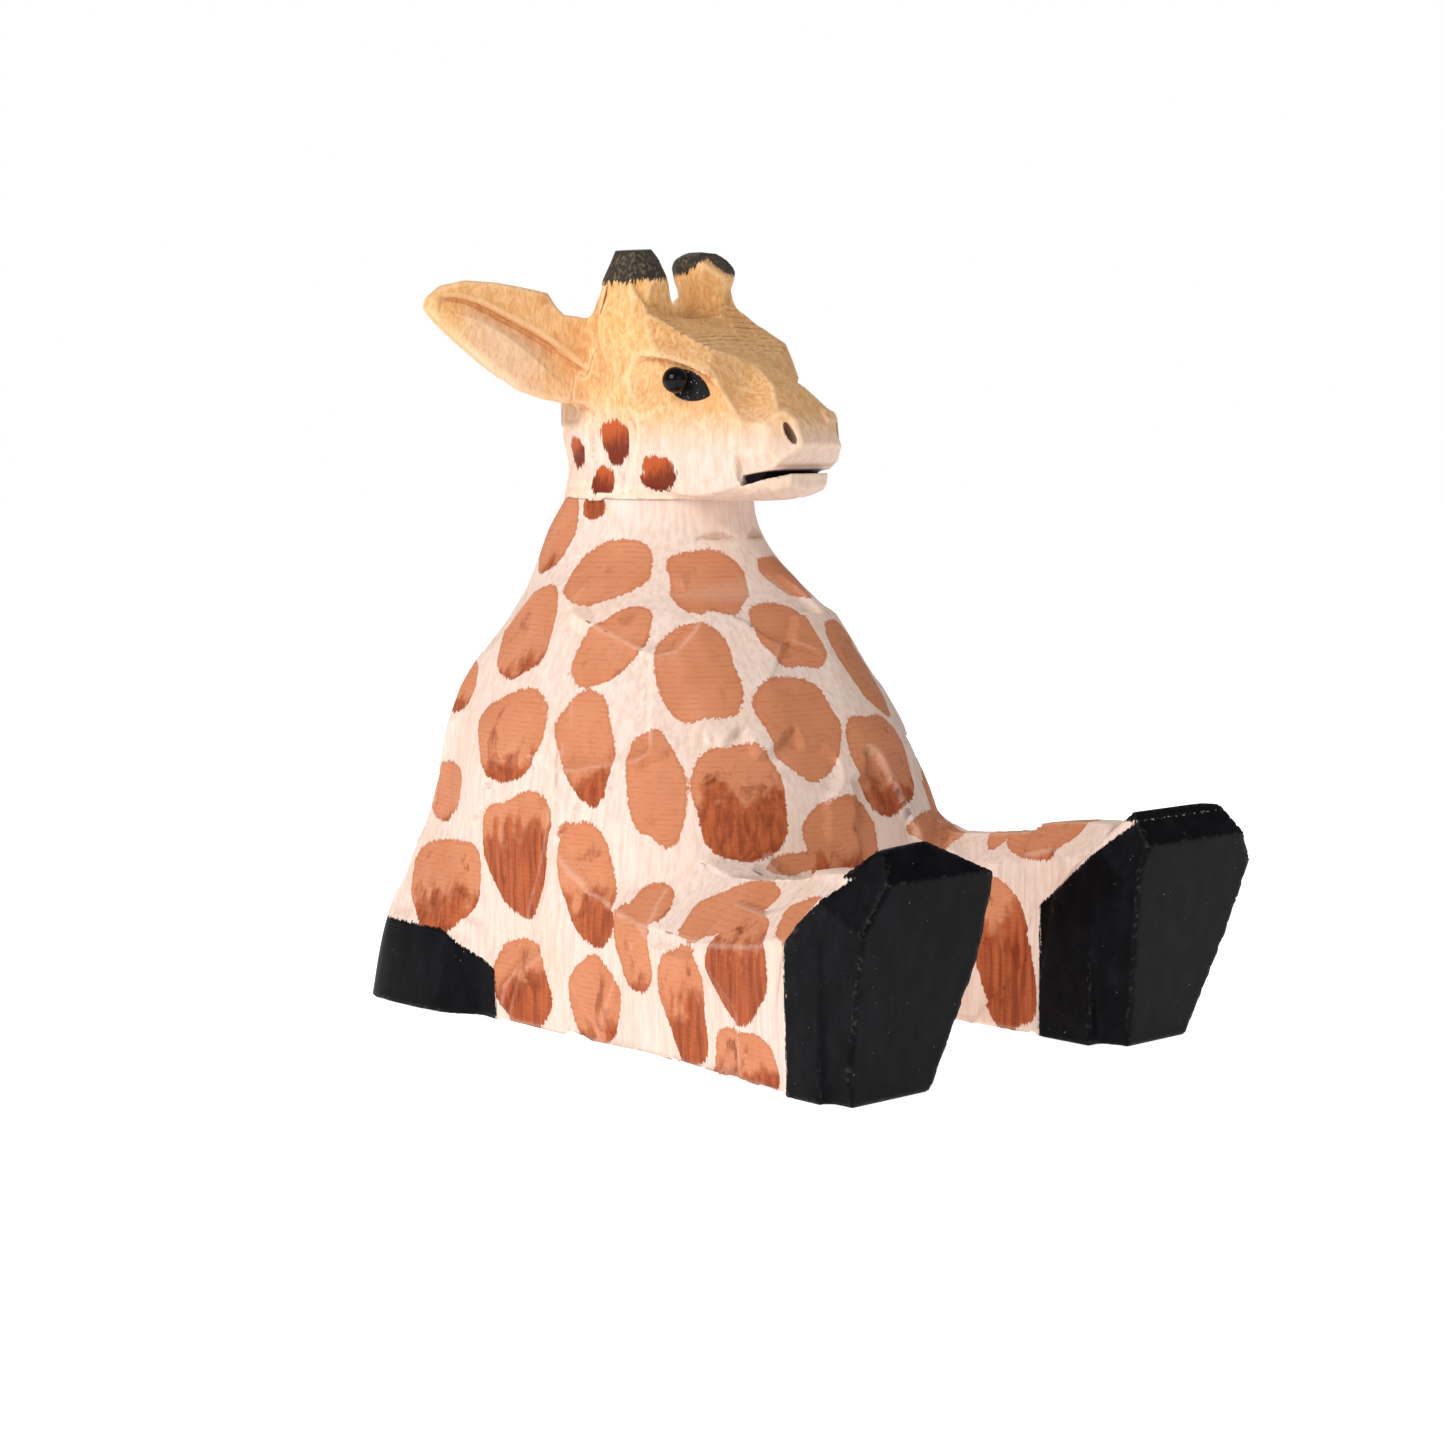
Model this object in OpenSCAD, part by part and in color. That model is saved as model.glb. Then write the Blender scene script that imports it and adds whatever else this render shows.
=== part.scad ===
// Carved wooden giraffe that sits on its rump with its hind legs stretched out in front.
// Origin: on the ground under the middle of the outer box. +Z is up, the giraffe faces -Y,
// and its right side is -X. The head is turned a little to its own left.

/* [Overall size] */
// Width from the right ear's tip to the left hoof
total_w = 63.5; // [62:0.5:65]
// How far the torso's middle plane stands to the right of the box's middle
middle_shift = 1.6; // [1:0.1:2]
// Depth from the forelegs' heels to the soles
total_d = 88.9; // [86:0.1:92]
// Height to the tips of the horns
total_h = 88.9; // [87:0.1:91]

/* [Torso] */
// Half width of the torso at its widest
torso_half_w = 25.5; // [24:0.5:27]
// Distance of the neck's axis behind the origin
neck_y = 19; // [18:0.5:20]
// Radius of the neck under the jaw
neck_r = 11.2; // [10.5:0.1:12]
// Height of the glued joint between the neck and the head
neck_top_z = 60.5; // [59.5:0.5:61]

/* [Hind legs and hooves] */
// Half of the gap between the hind legs
leg_gap_half = 13.5; // [12:0.5:15]
// Height of the hind legs along their top
leg_top_z = 22; // [20:0.5:24]
// Height of the upright soles
sole_top_z = 27; // [25:0.5:29]
// How far the soles lean forward from bottom to top
sole_lean = 5; // [3:0.5:7]

/* [Head] */
// Turn of the head to the giraffe's own left, in degrees
head_turn = 15; // [5:1:20]
// Half of the spacing between the horns
horn_half_gap = 7.4; // [6.5:0.1:8]
// Radius at the foot of a horn
horn_foot_r = 4.4; // [4:0.1:5]
// Radius at the tip of a horn
horn_tip_r = 2.8; // [2.4:0.1:3.4]
// Length of an ear from its root to its tip
ear_len = 21; // [18:0.5:22]
// Thickness of an ear
ear_t = 2.6; // [2.2:0.1:3.2]
// Radius of the glass bead eyes
eye_r = 1.5; // [1.3:0.1:1.8]

/* [Joinery] */
// Radius of the dowel in the neck
dowel_r = 4; // [3:0.5:5]
// Length of the dowel in the neck
dowel_len = 24; // [16:1:26]
// Radius of the pins in the ear roots
ear_pin_r = 0.8; // [0.6:0.1:1]
// Gap left for glue round every dowel, pin and shank
glue_gap = 0.05; // [0.02:0.01:0.1]

/* [Hidden] */

left_reach = total_w / 2 + middle_shift;
front_y = -total_d / 2;
back_y = total_d / 2;
ring_sides = 48;
seat_gap = 0.02;
wood = "BurlyWood";

// Rings of the torso: height, middle along Y, half width, half depth, squareness
torso_rings = [
    [0, 15.5, 20.5, 26, 2.6],
    [6, 15, 22.5, 28, 2.6],
    [14, 14, torso_half_w - 1, 30, 2.6],
    [22, 14, torso_half_w, 30, 2.5],
    [30, 15, torso_half_w - 1, 28, 2.4],
    [37, 16, 23, 24.5, 2.3],
    [43, 16.5, 20, 20.5, 2.2],
    [48, 17.5, 17, 17, 2.1],
    [52, 18.5, 13.5, 13.5, 2],
    [56, neck_y + 0.5, neck_r + 0.2, neck_r + 0.4, 2],
    [neck_top_z, neck_y, neck_r, neck_r, 2]
];

// Rings of a foreleg: height, distance from the middle plane, middle along Y, half width, half depth
foreleg_rings = [
    [0, 18.6, back_y - 10.4, 8.2, 10.4],
    [9, 18.4, 33.4, 8, 10.2],
    [20, 17.4, 31.2, 7.4, 9.5],
    [34, 15.4, 28.4, 6.5, 8.2],
    [43, 12.5, 25.5, 5, 6],
    [49, 9, 23, 2, 3]
];
foreleg_square = 4;

// A hind leg's cuts from hip to ankle: place along Y, inner x, outer x, top z
leg_cuts = [
    [18, 8, 19.5, leg_top_z],
    [2, 9, 21.4, leg_top_z],
    [-14, 12, 23.8, leg_top_z - 1.5],
    [-24, leg_gap_half, 26, leg_top_z - 0.5],
    [front_y + 13, leg_gap_half, 27.4, leg_top_z + 0.5]
];
leg_bevel = 4;
leg_bulge = 0.5;

// Outlines of the soles, from the inner bottom corner out and round: distance from the middle, height
right_sole = [
    [15, 0], [27.3, 0], [28, 14], [28.4, 23.5], [24, sole_top_z - 1], [18, sole_top_z - 0.6],
    [10, 22.6], [10.6, 13.6]
];
left_sole = [
    [13.6, 0], [29, 0], [29.6, 11], [left_reach, 19.5], [29.4, sole_top_z - 1], [21, sole_top_z],
    [13.2, sole_top_z - 0.2], [13, 13.6]
];
sole_edge = 0.8;
sole_face_share = 0.96;

// Rings of the skull from back to front: distance ahead of the neck, half width, lowest and highest z,
// squareness
skull_rings = [
    [-10.5, 4, 66, 77, 2.2],
    [-9, 7.5, 62.5, 80, 2.4],
    [-4, 10, 60, 81.8, 2.6],
    [2, 11.5, 59.5, 82.2, 3],
    [7, 12.6, 59.5, 81.4, 3.6],
    [11, 12, 59.6, 78.6, 3.2],
    [14, 9.5, 59.8, 75, 2.8],
    [18, 8, 60, 71.4, 2.6],
    [21, 7.2, 60.2, 69, 2.6],
    [23.5, 4.8, 61, 67.4, 2.4]
];
horn_foot_z = 78;
horn_height_difference = 0.7;
horn_y = -1.2;

// Places in the head's own frame, which is the giraffe's frame moved to the neck and turned
ear_root = [9.2, 4.2, 76.6];
ear_sweep = 29;
ear_rise = 14;
ear_root_r = 3.2;
ear_root_len = 4;
ear_pin_len = 9;
ear_pin_in_ear = 3.5;
// The ear's leaf outline: share of its length, height above its middle line
ear_outline = [
    [0, -3], [0.1, -5.6], [0.28, -6.2], [0.5, -5.2], [0.75, -3.4], [0.93, -1.9], [1, -0.4],
    [0.97, 0.9], [0.86, 1.9], [0.6, 3.4], [0.3, 5.8], [0.16, 4.6], [0, 3.2]
];
ear_cup_r = 30;
ear_cup_depth = 1.3;
ear_cup_place = [0.5, 0];
eye_place = [11.6, -9.6, 73.3];
shank_r = 0.5;
shank_len = 4;
mouth_z = 63.2;
mouth_h = 0.9;
mouth_corner_y = -15;
nostril_place = [4.8, -20.8, 66.6];
nostril_r = 0.8;

function signed_pow(v, e) = sign(v) * pow(abs(v), e);

// One closed ring of a squared-off ellipse
function ring(half_a, half_b, square) = [
    for (i = [0 : ring_sides - 1])
        let (t = 360 * (i + 0.5) / ring_sides)
        [half_a * signed_pow(cos(t), 2 / square), half_b * signed_pow(sin(t), 2 / square)]
];

// Solid skin over rings of equal point counts, closed at both ends
module loft(rings) {
    n = len(rings[0]);
    last = len(rings) - 1;
    points = [for (r = rings) for (p = r) p];
    sides = [
        for (k = [0 : last - 1])
            for (i = [0 : n - 1])
                [k * n + i, (k + 1) * n + i, (k + 1) * n + (i + 1) % n, k * n + (i + 1) % n]
    ];
    first_cap = [for (i = [0 : n - 1]) i];
    last_cap = [for (i = [n - 1 : -1 : 0]) last * n + i];
    polyhedron(points, concat([first_cap], sides, [last_cap]), convexity = 6);
}

// Rings that lie flat and are stacked upwards
module upright_loft(rows) {
    loft([
        for (r = rows)
            [for (p = ring(r[3], r[4], r[5])) [r[1] + p[0], r[2] + p[1], r[0]]]
    ]);
}

module torso() {
    upright_loft([for (r = torso_rings) [r[0], 0, r[1], r[2], r[3], r[4]]]);
}

module foreleg() {
    upright_loft([for (r = foreleg_rings) [r[0], r[1], r[2], r[3], r[4], foreleg_square]]);
}

// Eight corners of a leg's cut, in the same order as a sole's outline
function leg_corners(c) = [
    [c[1], c[0], 0],
    [c[2], c[0], 0],
    [c[2] + leg_bulge, c[0], c[3] / 2],
    [c[2], c[0], c[3] - leg_bevel],
    [c[2] - leg_bevel, c[0], c[3]],
    [c[1] + leg_bevel, c[0], c[3]],
    [c[1], c[0], c[3] - leg_bevel],
    [c[1] - leg_bulge, c[0], c[3] / 2]
];

// How far the leaning sole stands back at height z
function sole_y(z) = front_y + sole_lean * (1 - z / sole_top_z);

function sole_corners(outline, back) = [for (p = outline) [p[0], sole_y(p[1]) + back, p[1]]];

function shrunk(outline, share) =
    let (mid = [for (k = [0, 1]) (min([for (p = outline) p[k]]) + max([for (p = outline) p[k]])) / 2])
    [for (p = outline) [mid[0] + (p[0] - mid[0]) * share, p[1]]];

// Hind leg on the +X side, ending in a sole with the given outline
module hind_leg(outline) {
    loft(concat(
        [for (c = leg_cuts) leg_corners(c)],
        [sole_corners(outline, 6), sole_corners(outline, sole_edge), sole_corners(shrunk(outline, sole_face_share), 0)]
    ));
}

module on_right() {
    mirror([1, 0, 0]) children();
}

// Moves what is drawn about the torso's middle plane to its place in the box
module placed() {
    translate([-middle_shift, 0, 0]) children();
}

module head_frame() {
    translate([0, neck_y, 0]) rotate([0, 0, head_turn]) children();
}

// Hole for the neck's dowel, on the neck's axis
module dowel_bore() {
    translate([0, neck_y, neck_top_z - dowel_len / 2 - glue_gap])
        cylinder(h = dowel_len + 2 * glue_gap, r = dowel_r + glue_gap, $fn = 48);
}

module body() {
    color(wood) placed()
    difference() {
        union() {
            torso();
            foreleg();
            on_right() foreleg();
            hind_leg(left_sole);
            on_right() hind_leg(right_sole);
        }
        dowel_bore();
    }
}

module skull() {
    loft([
        for (r = skull_rings)
            let (mid_z = (r[2] + r[3]) / 2)
            [for (p = ring(r[1], (r[3] - r[2]) / 2, r[4])) [p[0], -r[0], mid_z + p[1]]]
    ]);
}

module horn(tip_z) {
    translate([horn_half_gap, horn_y, horn_foot_z])
        cylinder(h = tip_z - horn_foot_z, r1 = horn_foot_r, r2 = horn_tip_r, $fn = 48);
}

// Moves an ear drawn along +X, with its cupped side up, to the left ear's root
module ear_frame() {
    translate(ear_root)
        rotate([0, 0, ear_sweep]) rotate([0, -ear_rise, 0]) rotate([90, 0, 0])
            children();
}

module ear_pin_shape(r, extra) {
    translate([ear_pin_in_ear + extra, 0, 0]) rotate([0, -90, 0])
        cylinder(h = ear_pin_len + 2 * extra, r = r, $fn = 32);
}

// Flat-bottomed seat and pin hole that an ear's root is glued into
module ear_seat() {
    ear_frame() {
        translate([-seat_gap, 0, 0]) rotate([0, 90, 0])
            cylinder(h = 2 * ear_root_len, r = ear_root_r + glue_gap, $fn = 48);
        ear_pin_shape(ear_pin_r + glue_gap, glue_gap);
    }
}

module eye_socket() {
    translate(eye_place) sphere(r = eye_r + glue_gap, $fn = 48);
    translate(eye_place) rotate([0, -90, 0])
        cylinder(h = shank_len + glue_gap, r = shank_r + glue_gap, $fn = 24);
}

module mouth() {
    translate([-20, -40, mouth_z])
        cube([40, 40 + mouth_corner_y, mouth_h]);
}

module nostril() {
    translate(nostril_place) rotate([0, 70, 0])
        cylinder(h = 6, r = nostril_r, center = true, $fn = 24);
}

module head() {
    color(wood) placed()
    difference() {
        head_frame()
        difference() {
            union() {
                skull();
                horn(total_h);
                on_right() horn(total_h - horn_height_difference);
            }
            ear_seat();
            on_right() ear_seat();
            eye_socket();
            on_right() eye_socket();
            nostril();
            on_right() nostril();
            mouth();
        }
        translate([0, neck_y, neck_top_z - 10 + seat_gap])
            cylinder(h = 10, r = neck_r + 1, $fn = 48);
        dowel_bore();
    }
}

module neck_dowel() {
    color("Tan") placed()
    translate([0, neck_y, neck_top_z - dowel_len / 2])
        cylinder(h = dowel_len, r = dowel_r, $fn = 48);
}

module ear() {
    difference() {
        ear_frame()
        union() {
            translate([0, 0, -ear_t / 2]) linear_extrude(ear_t)
                polygon([for (p = ear_outline) [p[0] * ear_len, p[1]]]);
            rotate([0, 90, 0]) cylinder(h = ear_root_len, r = ear_root_r, $fn = 48);
        }
        ear_frame() {
            translate([ear_cup_place[0] * ear_len, ear_cup_place[1], ear_t / 2 - ear_cup_depth + ear_cup_r])
                sphere(r = ear_cup_r, $fn = 96);
            ear_pin_shape(ear_pin_r + glue_gap, glue_gap);
        }
    }
}

module left_ear() {
    color(wood) placed() head_frame() ear();
}

module right_ear() {
    color(wood) placed() head_frame() on_right() ear();
}

module left_ear_pin() {
    color("Wheat") placed() head_frame() ear_frame() ear_pin_shape(ear_pin_r, 0);
}

module right_ear_pin() {
    color("Wheat") placed() head_frame() on_right() ear_frame() ear_pin_shape(ear_pin_r, 0);
}

module eye() {
    translate(eye_place) sphere(r = eye_r, $fn = 48);
    translate(eye_place) rotate([0, -90, 0]) cylinder(h = shank_len, r = shank_r, $fn = 24);
}

module left_eye() {
    color("Black") placed() head_frame() eye();
}

module right_eye() {
    color("Black") placed() head_frame() on_right() eye();
}

body();
head();
neck_dowel();
right_ear();
left_ear();
right_ear_pin();
left_ear_pin();
right_eye();
left_eye();
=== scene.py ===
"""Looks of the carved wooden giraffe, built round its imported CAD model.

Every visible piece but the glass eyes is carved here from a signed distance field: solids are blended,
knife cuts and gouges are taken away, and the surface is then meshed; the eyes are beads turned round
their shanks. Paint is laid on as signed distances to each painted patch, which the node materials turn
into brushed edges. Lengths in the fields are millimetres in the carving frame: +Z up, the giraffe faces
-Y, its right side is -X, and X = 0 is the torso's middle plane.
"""

import math

import bmesh
import bpy
import numpy as np
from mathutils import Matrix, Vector


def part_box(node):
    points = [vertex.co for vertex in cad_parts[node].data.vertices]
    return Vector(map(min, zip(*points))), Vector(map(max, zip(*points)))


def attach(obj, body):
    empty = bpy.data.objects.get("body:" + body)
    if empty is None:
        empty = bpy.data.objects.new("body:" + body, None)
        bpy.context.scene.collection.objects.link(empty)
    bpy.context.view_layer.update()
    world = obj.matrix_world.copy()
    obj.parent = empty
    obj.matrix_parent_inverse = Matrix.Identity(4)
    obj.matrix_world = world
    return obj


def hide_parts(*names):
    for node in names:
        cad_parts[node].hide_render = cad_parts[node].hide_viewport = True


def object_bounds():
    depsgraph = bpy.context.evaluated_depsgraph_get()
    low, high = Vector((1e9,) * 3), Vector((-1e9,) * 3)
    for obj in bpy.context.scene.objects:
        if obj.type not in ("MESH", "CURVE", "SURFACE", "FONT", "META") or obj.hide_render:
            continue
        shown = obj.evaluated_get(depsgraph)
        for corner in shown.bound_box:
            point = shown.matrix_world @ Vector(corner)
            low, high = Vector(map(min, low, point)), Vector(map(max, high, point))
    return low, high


MM = 0.001
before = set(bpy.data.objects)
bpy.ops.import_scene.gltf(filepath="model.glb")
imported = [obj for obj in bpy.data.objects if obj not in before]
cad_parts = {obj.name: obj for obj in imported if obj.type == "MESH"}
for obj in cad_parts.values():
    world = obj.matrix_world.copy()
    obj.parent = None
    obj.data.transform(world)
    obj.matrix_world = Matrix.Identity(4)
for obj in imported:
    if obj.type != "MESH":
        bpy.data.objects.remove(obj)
cad_low, cad_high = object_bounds()

# ---------------------------------------------------------------- sizes taken from the frame
dowel_low, dowel_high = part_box("neck_dowel")
MIDDLE_X = (dowel_low.x + dowel_high.x) / 2 / MM
NECK_Y = (dowel_low.y + dowel_high.y) / 2 / MM
JOINT_Z = (dowel_low.z + dowel_high.z) / 2 / MM
DOWEL_R = (dowel_high.x - dowel_low.x) / 2 / MM
DOWEL_HALF = (dowel_high.z - dowel_low.z) / 2 / MM
FRONT_Y = cad_low.y / MM
BACK_Y = cad_high.y / MM
HORN_TOP = cad_high.z / MM
LEFT_X = cad_high.x / MM - MIDDLE_X
GLUE_GAP = 0.04

BODY_CELL = 0.46
HEAD_CELL = 0.3
EAR_CELL = 0.24
# Spacing, seed, inset and depth of the flat knife cuts
BODY_FACETS = (9, 7, 0.4, 0.8)
HEAD_FACETS = (5, 23, 0.25, 0.4)
EAR_FACETS = (5, 31, 0.15, 0.25)
BLOCK = 4000
BEND_REACH = 0.4
OVERLAP = 0.12


# ---------------------------------------------------------------- field tools
def smooth_min(a, b, r):
    h = np.clip(0.5 + 0.5 * (b - a) / r, 0, 1)
    return b + (a - b) * h - r * h * (1 - h)


def smooth_max(a, b, r):
    return -smooth_min(-a, -b, r)


def ease(t):
    t = np.clip(t, 0, 1)
    return t * t * (3 - 2 * t)


def unit(v):
    v = np.asarray(v, float)
    return v / np.linalg.norm(v)


def cut(p, point, normal):
    """Distance beyond a knife cut through point; normal points at the wood that is cut away."""
    return (p - np.asarray(point, float)) @ unit(normal)


def beyond(p, cuts):
    """Distance beyond the outermost of several knife cuts, each a point and the way it faces."""
    return np.max([cut(p, point, normal) for point, normal in cuts], axis=0)


def ellipsoid(p, centre, radii):
    q = p - np.asarray(centre, float)
    r = np.asarray(radii, float)
    far = np.linalg.norm(q / r, axis=1)
    return far * (far - 1) / np.maximum(np.linalg.norm(q / r**2, axis=1), 1e-6)


def outline(a, b, points):
    """Signed distance to a closed outline in the plane of the coordinates a and b."""
    corners = np.asarray(points, float)
    best = np.full(a.shape, 1e9)
    inside = np.zeros(a.shape, bool)
    for (ax, ay), (bx, by) in zip(corners, np.roll(corners, -1, axis=0)):
        ex, ey = bx - ax, by - ay
        t = np.clip(((a - ax) * ex + (b - ay) * ey) / (ex * ex + ey * ey), 0, 1)
        best = np.minimum(best, np.hypot(a - ax - t * ex, b - ay - t * ey))
        crosses = ((ay > b) != (by > b)) & (a < (bx - ax) * (b - ay) / ((by - ay) or 1e-9) + ax)
        inside ^= crosses
    return np.where(inside, -best, best)


def along(table, t):
    """Smooth curve through the rows of a table whose first column is the place t."""
    rows = np.asarray(table, float)
    knots, values = rows[:, 0], rows[:, 1:]
    slopes = np.gradient(values, knots, axis=0)
    t = np.clip(t, knots[0], knots[-1])
    i = np.clip(np.searchsorted(knots, t) - 1, 0, len(knots) - 2)
    span = knots[i + 1] - knots[i]
    s = ((t - knots[i]) / span)[:, None]
    span = span[:, None]
    made = (
        (2 * s**3 - 3 * s**2 + 1) * values[i]
        + (s**3 - 2 * s**2 + s) * span * slopes[i]
        + (3 * s**2 - 2 * s**3) * values[i + 1]
        + (s**3 - s**2) * span * slopes[i + 1]
    )
    return made.T


def squared_ring(a, b, half_a, half_b, square):
    """Distance, measured along the ray from the middle, to a squared-off ellipse."""
    k = ((np.abs(a) / half_a) ** square + (np.abs(b) / half_b) ** square) ** (1 / square)
    r = np.hypot(a, b)
    return np.where(k > 1e-3, r - r / np.maximum(k, 1e-3), -np.minimum(half_a, half_b))


def mirrored(p):
    """The same points with the right side folded on to the left."""
    q = p.copy()
    q[:, 0] = np.abs(q[:, 0])
    return q


def slope_and_value(field, p, h=0.05):
    """The field's gradient and value from four samples round each point."""
    slope = np.zeros_like(p)
    value = np.zeros(len(p))
    for way in ((1, -1, -1), (-1, -1, 1), (-1, 1, -1), (1, 1, 1)):
        way = np.array(way, float)
        here = field(p + h * way)
        slope += here[:, None] * way
        value += here
    return slope / (4 * h), value / 4


def facing_of(field, p, h=0.05):
    """Unit vectors straight out of the field's surface."""
    return rows_of_unit(slope_and_value(field, p, h)[0])


def rows_of_unit(v):
    return v / np.maximum(np.linalg.norm(v, axis=1, keepdims=True), 1e-9)


def only_where(near, away, field, p):
    """The field where near is true, and the cheap guess away elsewhere."""
    value = away.copy()
    value[near] = field(p[near])
    return value


# ---------------------------------------------------------------- meshing
def sample(field, low, n, cell):
    """The field on a grid of n points; blocks that lie well off the surface take one value each."""
    size = 6
    counts = [math.ceil(k / size) for k in n]
    corners = np.indices(counts).reshape(3, -1).T * size
    middle = field(low + cell * (corners + size / 2))
    near = np.abs(middle) < 1.7 * cell * size * math.sqrt(3) / 2
    blocks = np.repeat(middle[:, None], size**3, axis=1)
    inner = np.indices((size,) * 3).reshape(3, -1).T
    for i in np.array_split(np.flatnonzero(near), max(1, near.sum() // 400)):
        points = low + cell * (corners[i][:, None, :] + inner[None])
        blocks[i] = field(points.reshape(-1, 3)).reshape(len(i), -1)
    grid = blocks.reshape(*counts, size, size, size).transpose(0, 3, 1, 4, 2, 5)
    grid = grid.reshape([k * size for k in counts])
    return grid[: n[0], : n[1], : n[2]]


def surface_net(values, low, cell):
    """Vertices and four-sided faces of the surface where the sampled field changes sign."""
    n = values.shape
    cells = tuple(k - 1 for k in n)
    total = np.zeros((int(np.prod(cells)), 3))
    count = np.zeros(len(total), np.int32)
    inside = values < 0
    crossings = []
    for axis in range(3):
        near = [slice(None)] * 3
        far = [slice(None)] * 3
        near[axis], far[axis] = slice(0, -1), slice(1, None)
        changed = inside[tuple(near)] != inside[tuple(far)]
        others = [k for k in range(3) if k != axis]
        place = np.argwhere(changed)
        ok = (place[:, others] > 0).all(axis=1)
        ok &= (place[:, others] < np.array(cells)[others]).all(axis=1)
        place = place[ok]
        ahead = place.copy()
        ahead[:, axis] += 1
        v0, v1 = values[tuple(place.T)], values[tuple(ahead.T)]
        point = place.astype(float)
        point[:, axis] += v0 / (v0 - v1)
        ring = []
        for da, db in ((-1, -1), (0, -1), (0, 0), (-1, 0)):
            around = place.copy()
            around[:, others[0]] += da
            around[:, others[1]] += db
            ids = np.ravel_multi_index(around.T, cells)
            np.add.at(total, ids, point)
            np.add.at(count, ids, 1)
            ring.append(ids)
        quad = np.stack(ring, axis=1)
        flip = (v0 < 0) if axis != 1 else (v0 >= 0)
        quad[~flip] = quad[~flip][:, ::-1]
        crossings.append(quad)
    used = count > 0
    number = np.cumsum(used) - 1
    vertices = total[used] / count[used][:, None] * cell + np.asarray(low)
    return vertices, number[np.concatenate(crossings)]


def settle(vertices, field, reach, rounds):
    """Moves the vertices on to the field's zero surface."""
    for _ in range(rounds):
        slope, value = slope_and_value(field, vertices)
        size = np.maximum((slope**2).sum(axis=1), 0.2)
        step = slope * (value / size)[:, None]
        length = np.linalg.norm(step, axis=1, keepdims=True)
        vertices = vertices - step * np.minimum(1, reach / np.maximum(length, 1e-9))
    return vertices


def carve(rough, fine, low, high, cell):
    """Meshes the rough field and settles the vertices on the fine one, made for those vertices.

    Also gives how the surface bends at each vertex: above 0 on ridges, below 0 in creases.
    """
    low = np.asarray(low, float)
    n = tuple(int(math.ceil((h - l) / cell)) + 1 for l, h in zip(low, high))
    vertices, faces = surface_net(sample(rough, low, n, cell), low, cell)
    vertices = settle(vertices, rough, 0.4 * cell, 2)
    field = fine(vertices)
    vertices = settle(vertices, field, 0.4 * cell, 5)
    bend = (slope_and_value(field, vertices, BEND_REACH)[1] - field(vertices)) / BEND_REACH
    return vertices, faces, bend


def to_object(name, vertices, faces, place, node, paints):
    """Makes a Blender piece from vertices in millimetres; place turns them into the row frame."""
    mesh = bpy.data.meshes.new(name)
    points = place(vertices) * MM
    mesh.vertices.add(len(points))
    mesh.vertices.foreach_set("co", points.astype(np.float32).ravel())
    sides = faces.shape[1]
    mesh.loops.add(faces.size)
    mesh.loops.foreach_set("vertex_index", faces.astype(np.int32).ravel())
    mesh.polygons.add(len(faces))
    mesh.polygons.foreach_set("loop_start", np.arange(0, faces.size, sides, dtype=np.int32))
    mesh.polygons.foreach_set("loop_total", np.full(len(faces), sides, np.int32))
    mesh.update(calc_edges=True)
    mesh.validate()
    mesh.shade_smooth()
    for paint, values in paints.items():
        layer = mesh.attributes.new(paint, "FLOAT", "POINT")
        layer.data.foreach_set("value", values.astype(np.float32))
    piece = bpy.data.objects.new(name, mesh)
    bpy.context.scene.collection.objects.link(piece)
    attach(piece, "root")
    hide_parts(node)
    return piece


def spread(points, spacing):
    """Points picked evenly, each the farthest from those before it, until spacing is reached."""
    pool = points[:: max(1, len(points) // 12000)]
    picked = [pool[0]]
    far = np.linalg.norm(pool - picked[0], axis=1)
    while far.max() > spacing:
        picked.append(pool[np.argmax(far)])
        far = np.minimum(far, np.linalg.norm(pool - picked[-1], axis=1))
    return np.array(picked)


def knife_facets(field, vertices, share, spacing, seed, inset, depth):
    """The field with flat knife cuts, as strong as share says at each of these vertices.

    The made field takes points in the order of the vertices. Each cut is a plane set a little under
    the surface at one of the spread points, at most inset. It reaches a little way into its
    neighbours' ground, so that two cuts meet in a ridge. Depth is the most that a cut may take away.
    """
    rng = np.random.default_rng(seed)
    spots = spread(vertices, spacing)
    facing = facing_of(field, spots)
    leaning = rows_of_unit(facing + rng.normal(0, 0.04, facing.shape))
    spots = spots - facing * rng.uniform(0.5 * inset, inset, (len(spots), 1))
    slope = slope_and_value(field, vertices, 0.1)[0]
    here = rows_of_unit(slope)
    steep = np.maximum(np.linalg.norm(slope, axis=1), 0.3)
    count = min(6, len(spots))
    near = np.empty((len(vertices), count), int)
    for i in range(0, len(vertices), BLOCK):
        gap = ((vertices[i : i + BLOCK, None, :] - spots[None]) ** 2).sum(axis=2)
        near[i : i + BLOCK] = np.argpartition(gap, count - 1, axis=1)[:, :count]
    turned = np.einsum("ijk,ik->ij", facing[near], here)
    strange = spacing * np.maximum(0, 0.85 - turned)

    def faceted(p):
        base = field(p)
        even = base / steep
        offset = p[:, None, :] - spots[near]
        plane = (offset * leaning[near]).sum(axis=2)
        away = (offset**2).sum(axis=2) / (2 * spacing) + strange
        over = away - away.min(axis=1, keepdims=True)
        value = (plane - 0.3 * np.maximum(0, over - 0.2 * spacing)).max(axis=1)
        carved = even + np.clip(value - even, 0, depth)
        return base + share * (carved - base)

    return faceted


def in_row(p):
    return p + np.array([MIDDLE_X, 0, 0])


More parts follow.
